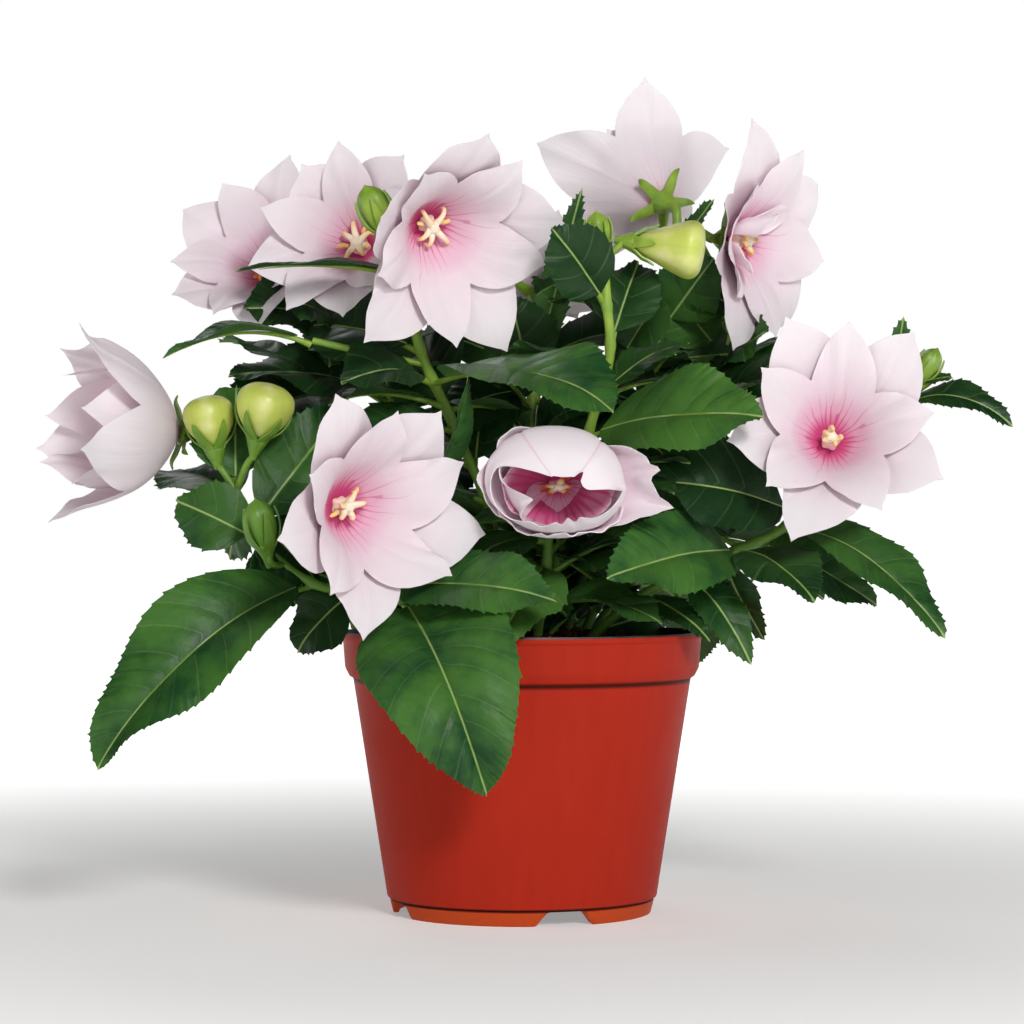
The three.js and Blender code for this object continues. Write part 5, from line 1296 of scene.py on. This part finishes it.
HEARTS = {
    "side_left": dict(spread=0.7, ripe=0.4, anthers=3),
    "far_left": dict(spread=0.7, ripe=1.1, anthers=4),
    "upper_left": dict(spread=0.85, ripe=0.55, anthers=3),
    "upper_middle": dict(spread=1, ripe=0.35, anthers=2),
    "upper_back": dict(spread=0.7, ripe=0.5, anthers=3),
    "upper_right": dict(spread=0.4, ripe=1, anthers=3),
    "right": dict(spread=0.1, ripe=0.45, anthers=0),
    "front_left": dict(spread=0.6, ripe=0.35, anthers=2),
    "front": dict(spread=0.5, ripe=2, anthers=2),
    "back": dict(spread=0.7, ripe=0.5, anthers=3),
}

# The flesh is cream and moist. The lobes' ends and the anthers turn yellow, orange and at last red.
flesh, tree, shader = finish("style_and_stamen_flesh", Roughness=0.5, Subsurface_Weight=0.3,
                             Subsurface_Scale=0.0015)
pattern = node(tree, "Attribute", {}, attribute_name="pattern").outputs["Vector"]
ripeness = node(tree, "SeparateXYZ", {0: pattern}).outputs[1]
place = node(tree, "TexCoord", {}).outputs["Object"]
powder = node(tree, "TexNoise", {"Vector": place, "Scale": per_metre(POLLEN_GRAIN)}).outputs[0]
grainy = node(tree, "Math", {0: powder, 1: 0.3, 2: ripeness}, operation="MULTIPLY_ADD").outputs[0]
shade = linear(CREAM)
for start, full, over in ((0.15, 0.7, ANTHER_YELLOW), (0.85, 1.4, ANTHER_ORANGE), (1.5, 1.9, ANTHER_RED)):
    share = node(tree, "MapRange", {"Value": grainy, 1: start, 2: full}).outputs[0]
    shade = node(tree, "Mix", {0: share, 6: shade, 7: linear(over)}, data_type="RGBA").outputs[2]
cover(tree, shader, shade, powder, 0.4, 0.2)

dome = turned([(0.1, STYLE_FOOT - 0.4), (3, STYLE_FOOT - 0.2), (3.1, STYLE_FOOT + 1), (2.2, STYLE_FOOT + 2.6),
               (1.3, STYLE_FOOT + 3.4), (0.4, STYLE_FOOT + 3.6)], 40, PETALS, 0.22, 20, 0.05)
style = turned([(1.5, STYLE_FOOT + 1), (1.6, STYLE_FOOT + 2.4), (1.8, STYLE_TOP - 1.8),
                (2.2, STYLE_TOP - 0.6), (1.9, STYLE_TOP + 0.7), (1, STYLE_TOP + 1.3),
                (0.1, STYLE_TOP + 1.35)],
               30, PETALS, 0.2, 24, 0.1)
for number, (name, bloom) in enumerate(BLOOMS.items()):
    chance = random.Random(200 + number)
    heart = HEARTS[name]
    parts = [dome, style]
    for i in range(PETALS):
        turn = math.radians(bloom["roll"] + i * 360 / PETALS + chance.uniform(-22, 22))
        own = chance.uniform(*LOBE_SPREADS)
        open_by = min(1, max(0, heart["spread"] + chance.uniform(-0.2, 0.2)))
        way = UPRIGHT_LOBE + (HOOKED_LOBE - UPRIGHT_LOBE) * open_by + (0, 0, STYLE_TOP)
        way[:, 1] += chance.uniform(-1.2, 1.2) * np.linspace(0, 1, len(way)) ** 2
        way[:, 0] = way[0, 0] + (way[:, 0] - way[0, 0]) * own
        lobe = on_line(way, np.linspace(0, len(way) - 1, 14))
        made = tube(lobe, np.interp(np.linspace(0, 1, 14), *LOBE_RADII), 10, 0.1)
        made[2][:, 1] = 0.1 + (heart["ripe"] - 0.1) * smooth(made[2][:, 0], 0.15, 0.6)
        parts.append(spun(made, turn))
    for i in range(heart["anthers"]):
        first, apart = ANTHER_TURNS
        turn = math.radians(bloom["roll"] + first + i * apart + chance.uniform(-15, 15))
        reach, rise = chance.uniform(6, 7.6), chance.uniform(4.6, 6.4)
        way = np.array([(1.8, 0, 0.3), (2.9, 0, 2.4), (4.6, 0, rise - 0.6), (reach, 0, rise - 0.4)])
        stamen = on_line(way + (0, 0, STYLE_FOOT), np.linspace(0, len(way) - 1, 12))
        made = tube(stamen, np.interp(np.linspace(0, 1, 12), *ANTHER_RADII), 8, 0.9)
        made[2][:, 1] = np.where(made[2][:, 0] < 0.38, 0.1, heart["ripe"] + 0.25)
        parts.append(spun(made, turn))
    press = np.array([1, bloom.get("pressed", 1), 1])
    in_frame = frame_at(bloom["base"], bloom["facing"])
    parts = [placed(made, lambda points: in_frame(points * press)) for made in parts]
    piece("heart_parts_" + name, parts, [flesh], "hearts", "heart_" + name)


# Balloon buds: five petals still joined at their edges and blown up like a balloon, yellow-green, with
# pale cream patches on the cheeks that are partly painted highlight, and greener at the seams and the foot.
BALLOON_PROFILE = ((0.1, 0.015), (0.26, 0.02), (0.45, 0.09), (0.64, 0.2), (0.86, 0.36), (0.97, 0.52),
                   (1, 0.66), (0.9, 0.82), (0.6, 0.94), (0.25, 0.985), (0.03, 1.0))
PEAR_PROFILE = ((0.1, 0.015), (0.28, 0.02), (0.4, 0.09), (0.5, 0.2), (0.66, 0.36), (0.84, 0.54),
                (1, 0.74), (0.98, 0.86), (0.78, 0.95), (0.4, 0.99), (0.03, 1.0))
BALLOON_LIFT = 0.3
BALLOON_LIME = "BDC75C"
BALLOON_CREAM_HIGHLIGHT = "DEDC9E"
SEAM_GREEN = "93AE42"
CHEEK_PATCH = 9.09
BUD_VEIN = 2
BUD_SHOWS_THROUGH = (0.8, 1, 0.3)

# The skin of a balloon is waxy and tight. Its cheeks are paler than the seams, which run down the ribs,
# with cream patches that are partly painted highlight.
bud_skin, tree, shader = finish("balloon_bud_skin", Roughness=0.38, Specular_IOR_Level=0.45,
                                Subsurface_Weight=0.4, Subsurface_Scale=0.003)
shader.inputs["Subsurface Radius"].default_value = BUD_SHOWS_THROUGH
pattern = node(tree, "Attribute", {}, attribute_name="pattern").outputs["Vector"]
up, _, rib = node(tree, "SeparateXYZ", {0: pattern}).outputs
place = node(tree, "TexCoord", {}).outputs["Object"]
patch = node(tree, "TexNoise", {"Vector": place, "Scale": per_metre(CHEEK_PATCH), "Detail": 3}).outputs[0]
# Cream patches at random, a little stronger on the crowns of the ribs: partly painted highlight.
cheek_patches_and_highlight = node(tree, "Math", {0: rib, 1: 0.12, 2: patch}, operation="MULTIPLY_ADD").outputs[0]
pale = node(tree, "MapRange", {"Value": cheek_patches_and_highlight, 1: 0.45, 2: 0.9}).outputs[0]
seam = node(tree, "MapRange", {"Value": rib, 1: -1, 2: -0.92, 3: 0.2, 4: 0}).outputs[0]
foot = node(tree, "MapRange", {"Value": up, 1: 0.05, 2: 0.4, 3: 0.8, 4: 0}).outputs[0]
greener = node(tree, "Math", {0: seam, 1: foot}, operation="MAXIMUM").outputs[0]
shade = linear(BALLOON_LIME)
for share, over in ((pale, BALLOON_CREAM_HIGHLIGHT), (greener, SEAM_GREEN)):
    shade = node(tree, "Mix", {0: share, 6: shade, 7: linear(over)}, data_type="RGBA").outputs[2]
veins = node(tree, "TexNoise", {"Vector": place, "Scale": per_metre(BUD_VEIN), "Detail": 3}).outputs[0]
cover(tree, shader, shade, veins, 0.2, 0.3)

for name, bud in BALLOONS.items():
    outline = PEAR_PROFILE if name == PEAR_SHAPED else BALLOON_PROFILE
    outline = scaled(outline, bud["width"] / 2, bud["length"])
    body = turned([(reach, height + BALLOON_LIFT) for reach, height in outline], 90, PETALS, 0.035, 44)
    in_frame = frame_at(bud["base"], bud["facing"])
    piece("balloon_bud_" + name, [placed(body, in_frame)], [bud_skin], "balloons", "balloon_" + name)


# A plain pale studio floor of paper, which glows with a painted glow that rises away from the pot until it
# meets the white surround, and soft light: a large lamp high at the front right, a weak one at the left and
# one behind. The surround is white only near the horizon, so that the inside of the plant stays dark. Its
# floor and lamps are placed in metres.
FLOOR_RADIUS = 30
FLOOR_WHITE = "E2E1DF"
FLOOR_BRIGHT = "E8E7E5"
PAPER_TOOTH = 3.33
GLOW_START = 0.1
GLOW_FULL = 0.8
GLOW_NEAR = 0.3
SURROUND_TOP = 0.05
SURROUND_GLOW = (0.165, 0.26)

bpy.ops.mesh.primitive_circle_add(vertices=96, radius=FLOOR_RADIUS, fill_type="NGON")
floor = bpy.context.object
floor.name = "studio_floor"
paper, tree, shader = finish("pale_studio_paper", Roughness=0.9, Specular_IOR_Level=0.1)
place = node(tree, "TexCoord", {}).outputs["Object"]
tooth = node(tree, "TexNoise", {"Vector": place, "Scale": per_metre(PAPER_TOOTH), "Detail": 2}).outputs[0]
shade = node(tree, "Mix", {0: tooth, 6: linear(FLOOR_WHITE), 7: linear(FLOOR_BRIGHT)}, data_type="RGBA")
tree.links.new(shade.outputs[2], shader.inputs["Base Color"])
# Painted glow: the paper's emission rises from a little near the pot to full far out.
away = node(tree, "VectorMath", {0: place}, operation="LENGTH").outputs["Value"]
glow = node(tree, "MapRange", {"Value": away, 1: GLOW_START, 2: GLOW_FULL, 3: GLOW_NEAR},
            interpolation_type="SMOOTHSTEP")
shader.inputs["Emission Color"].default_value = (1, 1, 1, 1)
tree.links.new(glow.outputs[0], shader.inputs["Emission Strength"])
floor.data.materials.append(paper)


def lamp(name, place, aim, size, power):
    """A round area lamp at a place, turned to its aim."""
    light = bpy.data.lights.new(name, "AREA")
    light.shape = "DISK"
    light.size = size
    light.energy = power
    made = bpy.data.objects.new(name, light)
    bpy.context.scene.collection.objects.link(made)
    made.location = place
    direction = np.array(aim) - np.array(place)
    made.rotation_euler = (math.atan2(math.hypot(direction[0], direction[1]), -direction[2]), 0,
                           math.atan2(direction[1], direction[0]) - math.pi / 2)
    return made


lamp("key_lamp", (0.5, -1.64, 0.88), (0, 0, 0.14), 0.4, 22)
lamp("fill_lamp", (-1.4, -0.9, 0.7), (0, 0, 0.14), 0.9, 1.2)
lamp("rim_lamp", (-0.4, 1.3, 1.2), (0, 0, 0.18), 0.6, 3)
world = bpy.data.worlds.new("white_surround")
world.use_nodes = True
tree = world.node_tree
upward = node(tree, "SeparateXYZ", {0: node(tree, "TexCoord", {}).outputs["Generated"]}).outputs[2]
level = node(tree, "MapRange", {"Value": upward, 1: SURROUND_GLOW[0], 2: SURROUND_GLOW[1], 3: 1,
                                4: SURROUND_TOP}, interpolation_type="SMOOTHSTEP").outputs[0]
tree.nodes["Background"].inputs["Color"].default_value = (1, 1, 1, 1)
tree.links.new(level, tree.nodes["Background"].inputs["Strength"])
bpy.context.scene.world = world
bpy.context.scene.view_settings.view_transform = "Standard"
